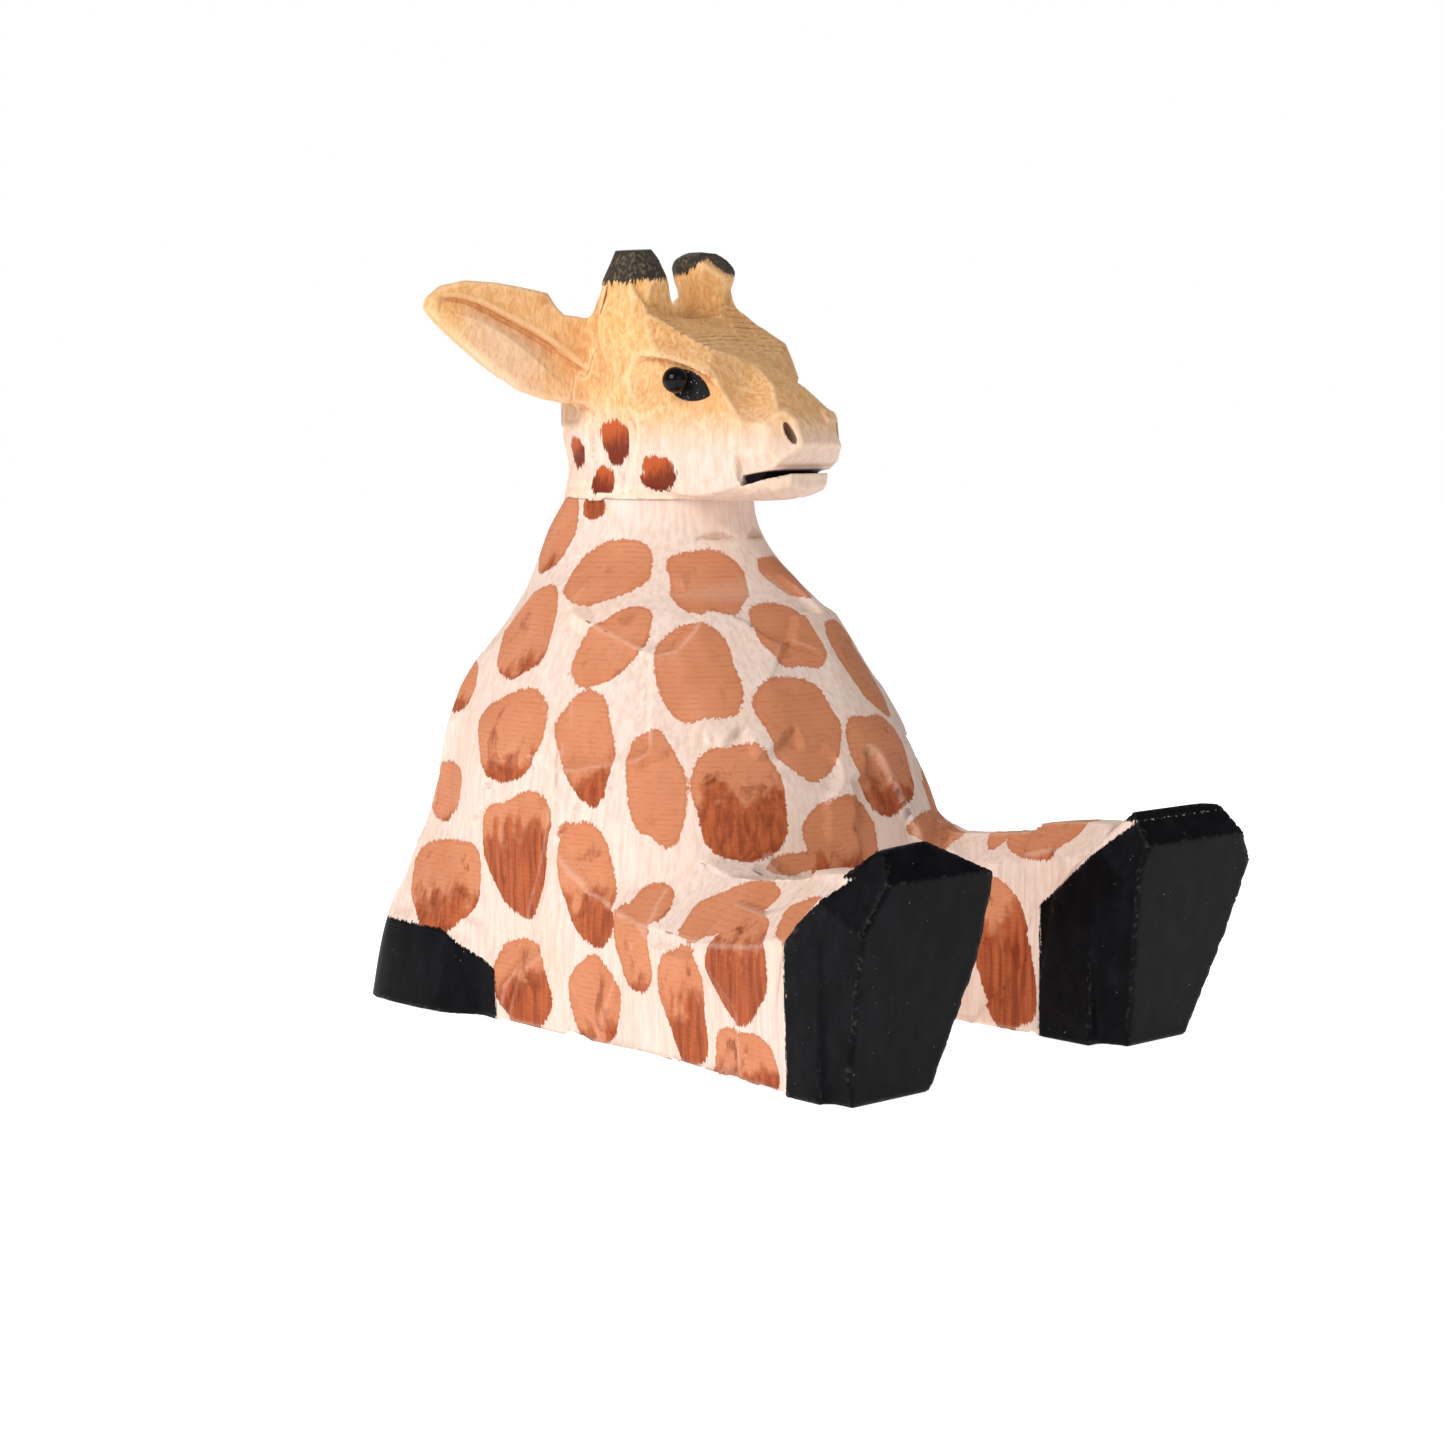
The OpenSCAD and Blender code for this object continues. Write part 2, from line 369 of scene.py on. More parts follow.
# ---------------------------------------------------------------- body
# Height, middle along Y, half width, half depth, squareness
TORSO = (
    (-2, 14.5, 24.4, 28.5, 3.4),
    (6, 14.5, 24.6, 29.4, 3.1),
    (14, 14, 25, 30, 2.8),
    (22, 14, 25.3, 29.6, 2.5),
    (30, 15, 24.4, 27.6, 2.4),
    (37, 16, 22.7, 24, 2.3),
    (43, 16.7, 20.2, 20.8, 2.2),
    (48, 17.5, 17.6, 17.8, 2.1),
    (52, 19.6, 14.4, 14.9, 2),
    (56, 20.4, 12.2, 13.1, 2),
    (61, 19.1, 10.8, 10.9, 2),
    (70, 19, 10.7, 10.8, 2),
)
# Height, distance from the middle plane, middle along Y, half width, half depth
FORELEG = (
    (-2, 19.2, 34.6, 8.2, 10),
    (9, 17.9, 32.9, 8, 10.2),
    (20, 16, 29.9, 7.3, 9.4),
    (27, 14.9, 28.4, 6.9, 8.8),
    (34, 14.7, 27.8, 6.4, 8.1),
    (43, 12.3, 25.3, 5, 6),
    (49, 9, 23, 2, 3),
)
FORELEG_TOP = 49
LEG_TOP = 22.0
LEG_BACK = 18
LEFT_LEG_LIFT = 1.6
SOLE_TOP = 27.0
SOLE_LEAN = 5.0
HOOF_THICK = 11
OUTER_BEVEL = 4.6
INNER_BEVEL = 2.6
# Soles from the inner bottom corner out and round: distance from the middle plane, height
RIGHT_SOLE = (
    (15, 0), (27.3, 0), (28, 14), (28.4, 23.5), (24, 26), (18, 26.4), (10, 22.6), (10.6, 13.6),
)
LEFT_SOLE = (
    (13.6, 0), (26.6, 0), (30.9, 11), (LEFT_X, 19.5), (29.4, 26), (21, 27), (13.2, 26.8), (13, 13.6),
)


def torso(p):
    middle, half_w, half_d, square = along(TORSO, p[:, 2])
    return squared_ring(p[:, 0], p[:, 1] - middle, half_w, half_d, square)


def foreleg(p):
    """On folded points, so it makes both."""
    x, y, half_w, half_d = along(FORELEG, p[:, 2])
    side = squared_ring(p[:, 0] - x, p[:, 1] - y, half_w, half_d, 4)
    return np.maximum(side, p[:, 2] - FORELEG_TOP)


# Place along Y, inner and outer distance from the middle plane, height
LEG = (
    (FRONT_Y, 13.5, 28, LEG_TOP + 0.5),
    (-31, 13.5, 27.6, LEG_TOP + 0.5),
    (-24, 13.3, 26.8, LEG_TOP - 0.5),
    (-14, 12, 25.6, LEG_TOP - 1.5),
    (2, 9, 24.6, LEG_TOP),
    (LEG_BACK, 8, 23.5, LEG_TOP),
)


def hind_leg(p, lift):
    """On folded points: a leg with a bevel along each top edge; lift raises its top."""
    inner, outer, top = along(LEG, p[:, 1])
    top = top + lift
    x, z = p[:, 0], p[:, 2]
    sides = np.maximum(x - outer, inner - x)
    shape = smooth_max(sides, z - top, 1.5)
    outer_bevel = ((x - outer) + (z - top)) / math.sqrt(2) + OUTER_BEVEL
    inner_bevel = ((inner - x) + (z - top)) / math.sqrt(2) + INNER_BEVEL
    shape = np.maximum(shape, np.maximum(outer_bevel, inner_bevel))
    return np.maximum(shape, np.maximum(p[:, 1] - LEG_BACK, FRONT_Y + 8 - p[:, 1]))


def sole_face(z):
    return FRONT_Y + SOLE_LEAN * (1 - z / SOLE_TOP)


# Knife cuts on the hooves: points on the cuts and the ways they face, in folded points
HOOF_BEVELS = (
    ((0, -41, 26.2), (0, 0.72, 0.69)),
    ((0, sole_face(22.9), 22.9), (0, -0.85, 0.53)),
)
RIGHT_HOOF_CUTS = (
    ((26.6, -42, 21.5), (0.86, -0.22, 0.46)),
    ((28.4, -36, 5.2), (0.93, -0.1, -0.3)),
)
LEFT_HOOF_CUTS = (
    ((14.4, -43.4, 22), (-0.95, -0.22, 0.2)),
    ((14, -42.6, 17.5), (-0.95, -0.25, -0.18)),
)
# Knife cuts up the front of the neck, which run out at its foot
NECK_CUTS = (
    ((-9.6, 10.4, 60), (-0.62, -0.78, 0.04)),
    ((-3.4, 8.2, 60), (-0.16, -0.98, 0.08)),
    ((4.5, 8.6, 60), (0.5, -0.86, 0.05)),
)
NECK_FOOT = 55
# Height and place along Y of the crease where the foreleg's side meets the flank
FORELEG_CREASE = ((1.4, 18.6), (12, 14), (20.8, 10.4), (33.1, 10.2), (42.3, 13.2))


def hoof(p, sole, cuts):
    """A leaning slab with the sole's outline, its top edges bevelled, and its own knife cuts."""
    face = sole_face(p[:, 2])
    slab = np.maximum(face - p[:, 1], p[:, 1] - face - HOOF_THICK)
    return np.max((outline(p[:, 0], p[:, 2], sole), slab, beyond(p, HOOF_BEVELS + cuts)), axis=0)


def neck(p):
    return np.maximum(torso(p), np.minimum(beyond(p, NECK_CUTS), 0.25 * (p[:, 2] - NECK_FOOT)))


def crease(p):
    """Depth of the knife line down each flank."""
    line = along(FORELEG_CREASE, p[:, 2])[0]
    reach = ease((np.abs(p[:, 0]) - 14) / 4) * ease((44 - p[:, 2]) / 4)
    return reach * np.maximum(0, 0.45 - 0.4 * np.abs(p[:, 1] - line))


def hooves(p):
    left = hoof(p, LEFT_SOLE, LEFT_HOOF_CUTS)
    right = hoof(p * np.array([-1, 1, 1]), RIGHT_SOLE, RIGHT_HOOF_CUTS)
    return np.minimum(left, right)


def body_rough(p):
    q = mirrored(p)
    shape = smooth_min(neck(p), foreleg(q), 2.5)
    left_lift = np.where(p[:, 0] > 0, LEFT_LEG_LIFT, 0)
    shape = smooth_min(shape, hind_leg(q, left_lift), 2.2)
    shape = smooth_min(shape, only_where(p[:, 1] < -28, p[:, 1] + 32, hooves, p), 0.6)
    shape = np.maximum(shape + crease(p), -p[:, 2])
    shape = np.maximum(shape, p[:, 2] - JOINT_Z + GLUE_GAP)
    bore = np.hypot(p[:, 0], p[:, 1] - NECK_Y) - DOWEL_R - GLUE_GAP
    bore = np.maximum(bore, JOINT_Z - DOWEL_HALF - GLUE_GAP - p[:, 2])
    return np.maximum(shape, -bore)


# Where the black paint ends on each side's hind hoof: its place along Y, the height from which that
# line leans forward, and the height above which the paint reaches back only to LEG_PAINT_Y
RIGHT_PAINT = (-31.3, 16.4, 23.2)
LEFT_PAINT = (-29.2, 15, 25.4)
PAINT_LEAN = 1.22
LEG_PAINT_Y = -25
# The fore hooves' paint: its front, its top at the back, where its top starts to fall, its inner edge
FORE_PAINT = (20.4, 9.7, 29, 10.8)


def hoof_paint(p):
    """Signed distance to the black paint on the four hooves, negative inside it."""
    x, y, z = p.T
    line, knee, leg_top = np.where(x[:, None] < 0, RIGHT_PAINT, LEFT_PAINT).T
    line = line - PAINT_LEAN * np.maximum(0, z - knee)
    hind = np.minimum((y - line) * 0.8, np.maximum(leg_top - z, y - LEG_PAINT_Y))
    front, top, fall, inner = FORE_PAINT
    top = top - 0.45 * np.maximum(0, fall - y)
    fore = np.maximum(np.maximum(front - y, z - top), inner - np.abs(x))
    return np.minimum(hind, fore)


# ---------------------------------------------------------------- spots
# Middle of the spot near the surface, half width, half height, tilt in degrees, shape, and how much of
# it from the bottom up has a second, darker coat
SEEN_SPOTS = (
    (-10.6, 18.2, 58.8, 1.8, 1.6, 0, "round", 1),
    (-10.5, 24.5, 55.4, 4.6, 5.4, 0, "round", 0.2),
    (-13.3, 13.3, 51.2, 5.7, 4.3, 12, "leaf", 0),
    (-17.8, 7.8, 43.6, 5.9, 3.8, 38, "leaf", 0.15),
    (-5.7, 4.4, 50.5, 4.9, 4.8, -4, "block", 0),
    (0.3, -2.6, 44.6, 4.5, 4.8, -10, "block", 0),
    (6.6, 5, 50, 4.2, 3.6, 0, "wedge", 0),
    (10.8, -4.2, 41, 4, 7, 8, "round", 0),
    (-18.8, 21.3, 44.4, 5.2, 5.9, 8, "block", 0.25),
    (-19, 33, 37.5, 4.2, 3.2, 0, "round", 0.3),
    (-13.2, -1.7, 40.9, 4.8, 6.2, 0, "block", 0),
    (-4.2, -9.7, 34.8, 5.5, 6.2, -14, "wedge", 0),
    (6.7, -12.1, 30.3, 5.2, 6.3, -6, "block", 0.35),
    (-23.8, 18.6, 32.8, 6.6, 5.1, -5, "wedge", 0.3),
    (-22.9, 6.1, 32.4, 3.6, 6.6, 6, "wedge", 0.35),
    (-21, -3.4, 29, 3.3, 6.8, 0, "round", 0),
    (-14.3, -10.6, 27.4, 5.4, 6.9, 0, "round", 0.62),
    (-3.1, -15.7, 22.7, 5.4, 4.5, 0, "block", 0.3),
    (-23, 33.5, 25.5, 4.6, 3.6, 0, "round", 0.2),
    (-25.2, 16.2, 19.6, 6.2, 6.9, -4, "wedge", 0.72),
    (-24.3, 4.1, 17.5, 4.2, 7, 0, "round", 0.45),
    (-25.6, 30.2, 14.7, 6.6, 5.8, -8, "wedge", 0.5),
    (-24.6, 15.6, 4.6, 4.8, 5.4, 0, "block", 0.6),
    (-25, 2.4, 4.8, 4.4, 5.2, -12, "leaf", 0.3),
    (-25, -4.2, 11.8, 3, 5.2, -6, "round", 0.25),
    (-24.4, -5.4, 17.2, 3.1, 2.5, 34, "round", 0.1),
    (-23.8, -15.6, 19.4, 7, 3.9, 8, "leaf", 0),
    (-26.8, -31.4, 20.4, 4.4, 3.6, -10, "wedge", 0),
    (-26.5, -22.9, 12.7, 5.6, 6.6, -6, "leaf", 0.7),
    (-26, -12.8, 6.2, 3.7, 6.6, 0, "wedge", 0.6),
    (-26.4, -23.6, 1.8, 5.8, 3.6, -12, "block", 0.5),
    (-10.4, -14.8, 20.2, 3.8, 1.2, 0, "leaf", 0),
    (13.4, -14, 22, 5, 2.4, 0, "leaf", 0),
    (16.5, -27.6, 23, 5.6, 4, 0, "wedge", 0.2),
    (13.2, -23.6, 8.4, 4.3, 8.4, 0, "block", 0.75),
    (13.2, -13.5, 13.4, 3, 4.4, 10, "leaf", 0),
    (17, -10.5, 26.5, 2.8, 4.4, -20, "leaf", 0),
    (18, -20.5, 22, 3.6, 1.6, 0, "leaf", 0),
)
SEEN_SIDE = (-0.69, -0.72, 0)
SPOT_GAP = 11.4
SPOTS_FROM_Z, SPOTS_TO_Z = 3, 56
FAR_OFF = 30.0
SQUARENESS = {"round": 2.1, "leaf": 1.75, "wedge": 2.3, "block": 2.7}


def spot_patch(p, normals, spot, rng):
    """Signed distance to one spot's brushed outline, and the height within it from -1 to 1."""
    centre, half_w, half_h = np.array(spot[:3]), spot[3], spot[4]
    nearest = np.argmin(((p - centre) ** 2).sum(axis=1))
    centre = p[nearest]
    close = np.flatnonzero(((p - centre) ** 2).sum(axis=1) < (1.7 * max(half_w, half_h) + 1) ** 2)
    inner = close[((p[close] - centre) ** 2).sum(axis=1) < 2.5**2]
    facing = unit(normals[inner].sum(axis=0))
    up = np.array([0, 0.35, 1])
    up = unit(up - facing * (up @ facing))
    across = np.cross(up, facing)
    close = close[normals[close] @ facing > 0.1]
    offset = p[close] - centre
    a, b = offset @ across, offset @ up
    stretch = np.linalg.norm(offset, axis=1) / np.maximum(np.hypot(a, b), 1e-6)
    a, b = a * stretch, b * stretch
    tilt = math.radians(spot[5])
    a, b = a * math.cos(tilt) + b * math.sin(tilt), b * math.cos(tilt) - a * math.sin(tilt)
    square = SQUARENESS[spot[6]]
    narrow = 1 + 0.3 * np.clip(b / half_h, -1.5, 1.5) if spot[6] == "wedge" else 1.0
    u, v = a / (half_w * narrow), b / half_h
    angle = np.arctan2(v, u)
    bend = sum(
        rng.uniform(0.2, 0.85) * 0.1 / k**0.55 * np.cos(k * angle + rng.uniform(0, 2 * math.pi))
        for k in (2, 3, 4, 5, 7)
    )
    reach = (np.abs(u) ** square + np.abs(v) ** square) ** (1 / square)
    length = np.hypot(a, b)
    distance = length * (1 - (1 + bend) / np.maximum(reach, 0.05))
    distance = np.where(reach < 0.05, -min(half_w, half_h), distance)
    return close, distance, v


def hidden_spots(p, normals):
    """More spots, evenly apart, on the side that the listed ones don't reach."""
    fair = (normals @ np.array(SEEN_SIDE) < 0.02) & (p[:, 2] > SPOTS_FROM_Z) & (p[:, 2] < SPOTS_TO_Z)
    fair &= (hoof_paint(p) > 1.5) & (normals[:, 2] > -0.5)
    pool = p[fair][::3]
    centres = np.array([s[:3] for s in SEEN_SPOTS])
    far = np.min([np.linalg.norm(pool - c, axis=1) for c in centres], axis=0)
    spots = []
    rng = np.random.default_rng(41)
    half = 0.44 * SPOT_GAP
    while far.max() > SPOT_GAP:
        c = pool[np.argmax(far)]
        far = np.minimum(far, np.linalg.norm(pool - c, axis=1))
        kind = ("round", "block", "wedge", "leaf")[rng.integers(4)]
        coat = max(0, rng.uniform(-0.5, 0.7))
        size = (half * rng.uniform(0.8, 1), half * rng.uniform(0.95, 1.2))
        spots.append((*c, *size, rng.uniform(-20, 20), kind, coat))
    return spots


def lay_spots(p, normals, spots, seed):
    rng = np.random.default_rng(seed)
    best = np.full(len(p), FAR_OFF)
    height = np.zeros(len(p))
    coat = np.zeros(len(p))
    for spot in spots:
        close, distance, v = spot_patch(p, normals, spot, rng)
        nearer = distance < best[close]
        ids = close[nearer]
        best[ids] = distance[nearer]
        height[ids] = v[nearer]
        coat[ids] = spot[7]
    return {"spot_d": best, "spot_v": height, "coat": coat}


def make_body():
    low = (-30, FRONT_Y - 1, -1)
    high = (LEFT_X + 1, BACK_Y + 1, JOINT_Z + 1)

    def fine(vertices):
        plain = np.clip(hoof_paint(vertices) / 1.5, 0, 1) * (vertices[:, 1] > -39)
        plain *= ease((53 - vertices[:, 2]) / 4)
        facets = knife_facets(body_rough, vertices, plain, *BODY_FACETS)
        return lambda p: np.maximum(facets(p), -p[:, 2])

    vertices, faces, bend = carve(body_rough, fine, low, high, BODY_CELL)
    normals = facing_of(body_rough, vertices, 0.4)
    spots = [*SEEN_SPOTS, *hidden_spots(vertices, normals)]
    paints = lay_spots(vertices, normals, spots, 3)
    paints["black_d"] = hoof_paint(vertices)
    paints["bend"] = bend
    return to_object("carved_body", vertices, faces, in_row, "body", paints)


# ---------------------------------------------------------------- head, in its own frame
# The head's frame stands on the neck's axis and is turned to the giraffe's left
HEAD_TURN = math.radians(15)
# Place along Y, half width, lowest and highest height, squareness
SKULL = (
    (-16.5, 8, 60.2, 75, 3.4),
    (-13, 10.2, 59.8, 80, 4.5),
    (-9, 12.2, 59.6, 82.5, 5),
    (-5, 12.1, 59.5, 82.6, 4),
    (0, 11.3, 59.5, 82.2, 3),
    (5, 10, 59.8, 81.2, 2.5),
    (9, 7.8, 61.5, 79, 2.3),
    (11.5, 4.6, 64, 76, 2.2),
)
MUZZLE = (
    (-23, 5.6, 60.4, 70, 3),
    (-20, 7.3, 60, 73, 3.2),
    (-16, 8.1, 59.8, 76, 3.4),
    (-12, 8.6, 59.8, 78, 3.4),
    (-6, 8.6, 60, 80, 3),
)
NOSE_FRONT = -22.2
CHIN_FRONT = -20.4
MOUTH_CORNER = -15.7
JAW_LOW = 59.5
BEAD = (11.6, -9.6, 73.3)
BEAD_R = 1.5
SHANK_R = 0.5
SHANK_LENGTH = 4.0
HORN = (7.3, -1.2)
# Height and radius of each horn
RIGHT_HORN = ((73, 2), (77, 4.4), (80.5, 4.7), (84.5, 3.9), (87, 2.8), (89.5, 1.8))
LEFT_HORN = (
    (73, 2), (77, 4.2), (80.5, 4.3), (84.2, 3.3), (86.2, 3.6),
    (87.4, 3.7), (88.3, 3.1), (88.9, 1.9), (89.4, 0.2),
)
HORN_SIDES = 7
# Height and radius of the nape, where the head takes over the neck's round
NAPE = ((56, 11.6), (60, 11.5), (62, 11.2), (66, 10.4), (71, 8.6), (76, 5))
NEAR_NOSTRIL = (-5.2, -20.9, 67.3)
FAR_NOSTRIL = (4.5, -21.8, 67.4)
EAR_ROOT = (9.2, 4.2, 76.6)
EAR_SWEEP = math.radians(29)
EAR_RISE = math.radians(14)
EAR_SEAT_R = 3.2
EAR_CUT = 1.5
PIN_R = 0.8
PIN_IN_EAR = 3.5
PIN_LENGTH = 9.0
# Leaf outline of an ear: along it, height above its middle line
EAR_LEAF = (
    (-2, 3.2), (2.6, 3.7), (4.4, 3.4), (5.6, 4.1), (6.9, 5.3), (10, 5.1), (13.1, 4.8), (17, 4),
    (19.6, 2.7), (20.9, 0.9), (20.9, -0.4), (19.3, -1.5), (16.3, -3), (11.9, -5), (7.8, -6.5),
    (4.4, -6.7), (1, -6.3), (-2, -5.5),
)
# Place along the ear, the height of the crease there and the depth of the cup below it
EAR_CREASE = (
    (-2, -3, 0), (1, -2, 0.5), (3.5, -1, 1.25), (6.4, 0, 1.5),
    (11.4, 1.1, 1.45), (15.4, 1.8, 1.1), (18, 1.7, 0.6), (20, 1.1, 0),
)
EAR_HALF_SEAM = 4.6
# The knife cuts that make the face: points on the cuts and the ways they face. Those of the brows'
# sides are different left and right; the others are in folded points, so each is made twice.
BROW_SIDES = (
    ((-9.5, -6.6, 79.8), (-0.56, -0.55, 0.62)),
    ((12.2, -6, 77.2), (0.97, -0.12, 0.2)),
)
TEMPLE_CUTS = (
    ((9.5, -12.3, 75.2), (0.2, -0.85, 0.45)),
    ((11.5, -2.8, 75.7), (0.877, 0.418, 0.236)),
)
FACE_CUT = ((12.2, -4.5, 70), (0.944, -0.33, 0))
CHEEK_CUT = ((11.4, -6.3, 66.5), (0.93, -0.3, -0.2))
MUZZLE_CUT = ((3.2, -16, 73.4), (0.7, -0.15, 0.7))
NOSE_CUTS = (
    ((0, NOSE_FRONT, 66), (0, -1, 0.28)),
    ((0, NOSE_FRONT + 0.7, 68.8), (0, -0.72, 0.7)),
)
LIP_CUTS = (
    ((7.1, -20.1, 64.9), (0.88, -0.26, -0.46)),
    ((4.4, NOSE_FRONT + 0.1, 66), (0.66, -0.74, 0.1)),
    ((0, NOSE_FRONT, 65.9), (0, -0.7, -0.71)),
)
CHIN_CUTS = (
    ((0, CHIN_FRONT, 62), (0, -1, -0.12)),
    ((4.6, CHIN_FRONT + 0.4, 62), (0.6, -0.8, -0.1)),
    ((3, CHIN_FRONT, 61.3), (0.12, -0.55, -0.83)),
)
SET_IN_CUT = ((9.5, -12.7, 62), (0.8, -0.5, -0.28))
JAW_CUT = ((11.1, -6, 61), (0.97, 0.03, -0.2))
# The flat sawn plate over the brows, and the two cuts that carry it down the nose
PLATE_CUT = ((0, -7, 80.3), (-0.055, -0.62, 1))
BRIDGE_CUTS = (
    ((0, -12.5, 76.5), (0, -0.74, 1)),
    ((0, -19.2, 71.2), (0.1, -1.2, 1)),
)
# Middle and radii of the hollow round the eye and of the wing over each nostril
SOCKET = ((13.2, -8.8, 73.4), (2.8, 6.4, 4.1))
WING = ((4.3, -19.4, 67.6), (2.7, 3.4, 2.6))
CROWN_CUT = ((0, -5.8, 81.1), (-0.05, 0.03, 1))
HORN_CUT = ((-7.2, -1.2, HORN_TOP - 0.45), (-0.1, -0.02, 1))


def lofted(p, table):
    half, low, high, square = along(table, p[:, 1])
    return squared_ring(p[:, 0], p[:, 2] - (low + high) / 2, half, (high - low) / 2, square)


def hood(y):
    """Height of the brow's lower edge over the eye."""
    return 75.75 - 0.05 * np.abs(y + 3) - 0.055 * np.maximum(0, -7.5 - y) ** 2


def mouth_line(y):
    return 61.9 + 0.24 * (MOUTH_CORNER - y)


def horn(p, side, profile):
    """A whittled horn: a few flat sides round its axis."""
    radius = along(profile, p[:, 2])[0]
    x, y = p[:, 0] - side * HORN[0], p[:, 1] - HORN[1]
    turn = 0.5 + 0.9 * side
    sides = [
        x * math.cos(a) + y * math.sin(a)
        for a in (turn + 2 * math.pi * k / HORN_SIDES for k in range(HORN_SIDES))
    ]
    flat = np.max(sides, axis=0)
    return 0.55 * flat + 0.45 * np.hypot(x, y) - radius


def ear_axes():
    """Unit vectors along an ear, up its height and out of its cup."""
    cs, ss = math.cos(EAR_SWEEP), math.sin(EAR_SWEEP)
    cr, sr = math.cos(EAR_RISE), math.sin(EAR_RISE)
    return np.array([(cr * cs, cr * ss, sr), (-sr * cs, -sr * ss, cr), (ss, -cs, 0)])


def to_ear(p):
    """Points in an ear's frame, from folded points."""
    return (p - np.array(EAR_ROOT)) @ ear_axes().T


def from_ear(e):
    return e @ ear_axes() + np.array(EAR_ROOT)


def ear_leaf(e):
    """The leaf of an ear in its own frame: a flat rim above a crease, a hollow cup below it."""
    far, height, out = e.T
    flat = outline(far, height, EAR_LEAF)
    half = 1.75 - 0.035 * np.clip(far, 0, 21)
    crease, depth = along(EAR_CREASE, far)
    lower = crease + 0.45 * (far - 21) / 2.2
    lower = np.minimum(lower, crease - 2)
    into = np.clip((height - lower) / (crease - lower), 0, 1)
    cup = depth * into * ease((crease + 0.25 - height) / 0.5)
    rim = 0.1 * np.maximum(0, height - crease)
    front = out - half + cup + rim
    back = -out - half * (1 - 0.012 * (height + 0.6) ** 2)
    return smooth_max(flat, np.maximum(front, back), 0.5)


def ear_part(e):
    """Negative in the wood that belongs to the ear piece: beyond its cut, and in its round seat."""
    far, height, out = e.T
    seat = np.maximum(-far, np.hypot(height, out) - EAR_SEAT_R)
    return np.minimum(np.maximum(EAR_CUT - far, np.abs(out) - EAR_HALF_SEAM), seat)


def pin_hole(e):
    far, height, out = e.T
    hole = np.hypot(height, out) - PIN_R
    ends = np.maximum(far - PIN_IN_EAR, PIN_IN_EAR - PIN_LENGTH - far)
    return np.maximum(hole, ends) - GLUE_GAP


def slit(p, place, out):
    """A narrow cut in the nose's wing, running down towards the lip."""
    run = unit((-0.1 if place[0] < 0 else 0.1, -0.72, -0.69))
    out = np.array(out)
    out = unit(out - run * (out @ run))
    across = np.cross(run, out)
    offset = p - np.array(place)
    turned = np.stack([offset @ run, offset @ across, offset @ out], axis=1)
    return ellipsoid(turned, (0, 0, 0), (1.4, 0.5, 1.5))


def nostrils(p):
    near = slit(p, NEAR_NOSTRIL, (-0.72, -0.6, 0.35))
    return np.minimum(near, slit(p, FAR_NOSTRIL, (0.2, -0.95, 0.2)))


def slit_height(p):
    """Distance above or below the mouth's painted groove, thick at its corner."""
    ahead = MOUTH_CORNER - p[:, 1]
    half = 0.56 - 0.28 * ease(ahead / 6)
    return np.maximum(np.abs(p[:, 2] - mouth_line(p[:, 1])) - half, -0.7 * ahead)


def mouth(p, shape):
    return np.maximum(slit_height(p), -(shape + 0.55))


def cranium(p, q):
    shape = np.maximum(lofted(p, SKULL), np.maximum(p[:, 1] - 11.6, -16 - p[:, 1]))
    shape = np.max((shape, beyond(p, BROW_SIDES), beyond(q, TEMPLE_CUTS)), axis=0)
    socket = np.maximum(ellipsoid(q, *SOCKET), (p[:, 2] - hood(p[:, 1])) * 0.9)
    shape = smooth_max(shape, -socket, 0.15)
    below = np.minimum(hood(p[:, 1]) - p[:, 2], -3.6 - p[:, 1])
    shape = np.maximum(shape, np.minimum(cut(q, *FACE_CUT), below))
    return np.maximum(shape, cut(q, *CHEEK_CUT))


def muzzle(q):
    return np.max((lofted(q, MUZZLE), -5 + q[:, 1], cut(q, *MUZZLE_CUT)), axis=0)


def nose_and_lips(shape, q):
    """Wings over the nostrils, and the cuts that end the nose, the lips and the chin."""
    shape = smooth_min(shape, ellipsoid(q, *WING), 0.4)
    shape = np.maximum(shape, beyond(q, NOSE_CUTS))
    upper = q[:, 2] - mouth_line(q[:, 1])
    lips = np.min((beyond(q, LIP_CUTS), upper, MOUTH_CORNER + 0.3 - q[:, 1]), axis=0)
    return np.max((shape, lips, np.minimum(beyond(q, CHIN_CUTS), -upper)), axis=0)


def jaws(shape, p, q):
    """Knife cuts along the jaw, and the round nape behind it."""
    set_in = np.minimum(cut(q, *SET_IN_CUT), p[:, 1] - MOUTH_CORNER - 0.3)
    shape = np.max((shape, set_in, cut(q, *JAW_CUT)), axis=0)
    nape = np.hypot(p[:, 0], p[:, 1] - 0.2) - along(NAPE, p[:, 2])[0]
    shape = smooth_min(shape, np.maximum(nape, p[:, 2] - 75), 1)
    return np.maximum(shape, JAW_LOW - p[:, 2])


def forehead(p, q):
    return np.maximum(cut(p, *PLATE_CUT), beyond(q, BRIDGE_CUTS))


def head_and_ears(p):
    q = mirrored(p)
    shape = smooth_min(cranium(p, q), muzzle(q), 1.6)
    horns = np.minimum(horn(p, -1, RIGHT_HORN), horn(p, 1, LEFT_HORN))
    horns = np.maximum(horns, 74 - p[:, 2])
    shape = smooth_min(np.maximum(shape, cut(p, *CROWN_CUT)), horns, 1.8)
    shape = np.maximum(shape, np.minimum(forehead(p, q), -4.9 - p[:, 1]))
    shape = jaws(nose_and_lips(shape, q), p, q)
    shape = np.max((shape, cut(p, *HORN_CUT), p[:, 2] - HORN_TOP, -nostrils(p)), axis=0)
    shape = np.maximum(shape, -mouth(q, shape))
    e = to_ear(q)
    return smooth_min(shape, only_where(e[:, 0] > -3, 2 - e[:, 0], ear_leaf, e), 2)


def to_body(p):
    """Points of the head's frame in the body's."""
    c, s = math.cos(HEAD_TURN), math.sin(HEAD_TURN)
    turned = np.stack([c * p[:, 0] - s * p[:, 1], s * p[:, 0] + c * p[:, 1], p[:, 2]], axis=1)
    return turned + np.array([0, NECK_Y, 0])


def head_in_row(p):
    return in_row(to_body(p))


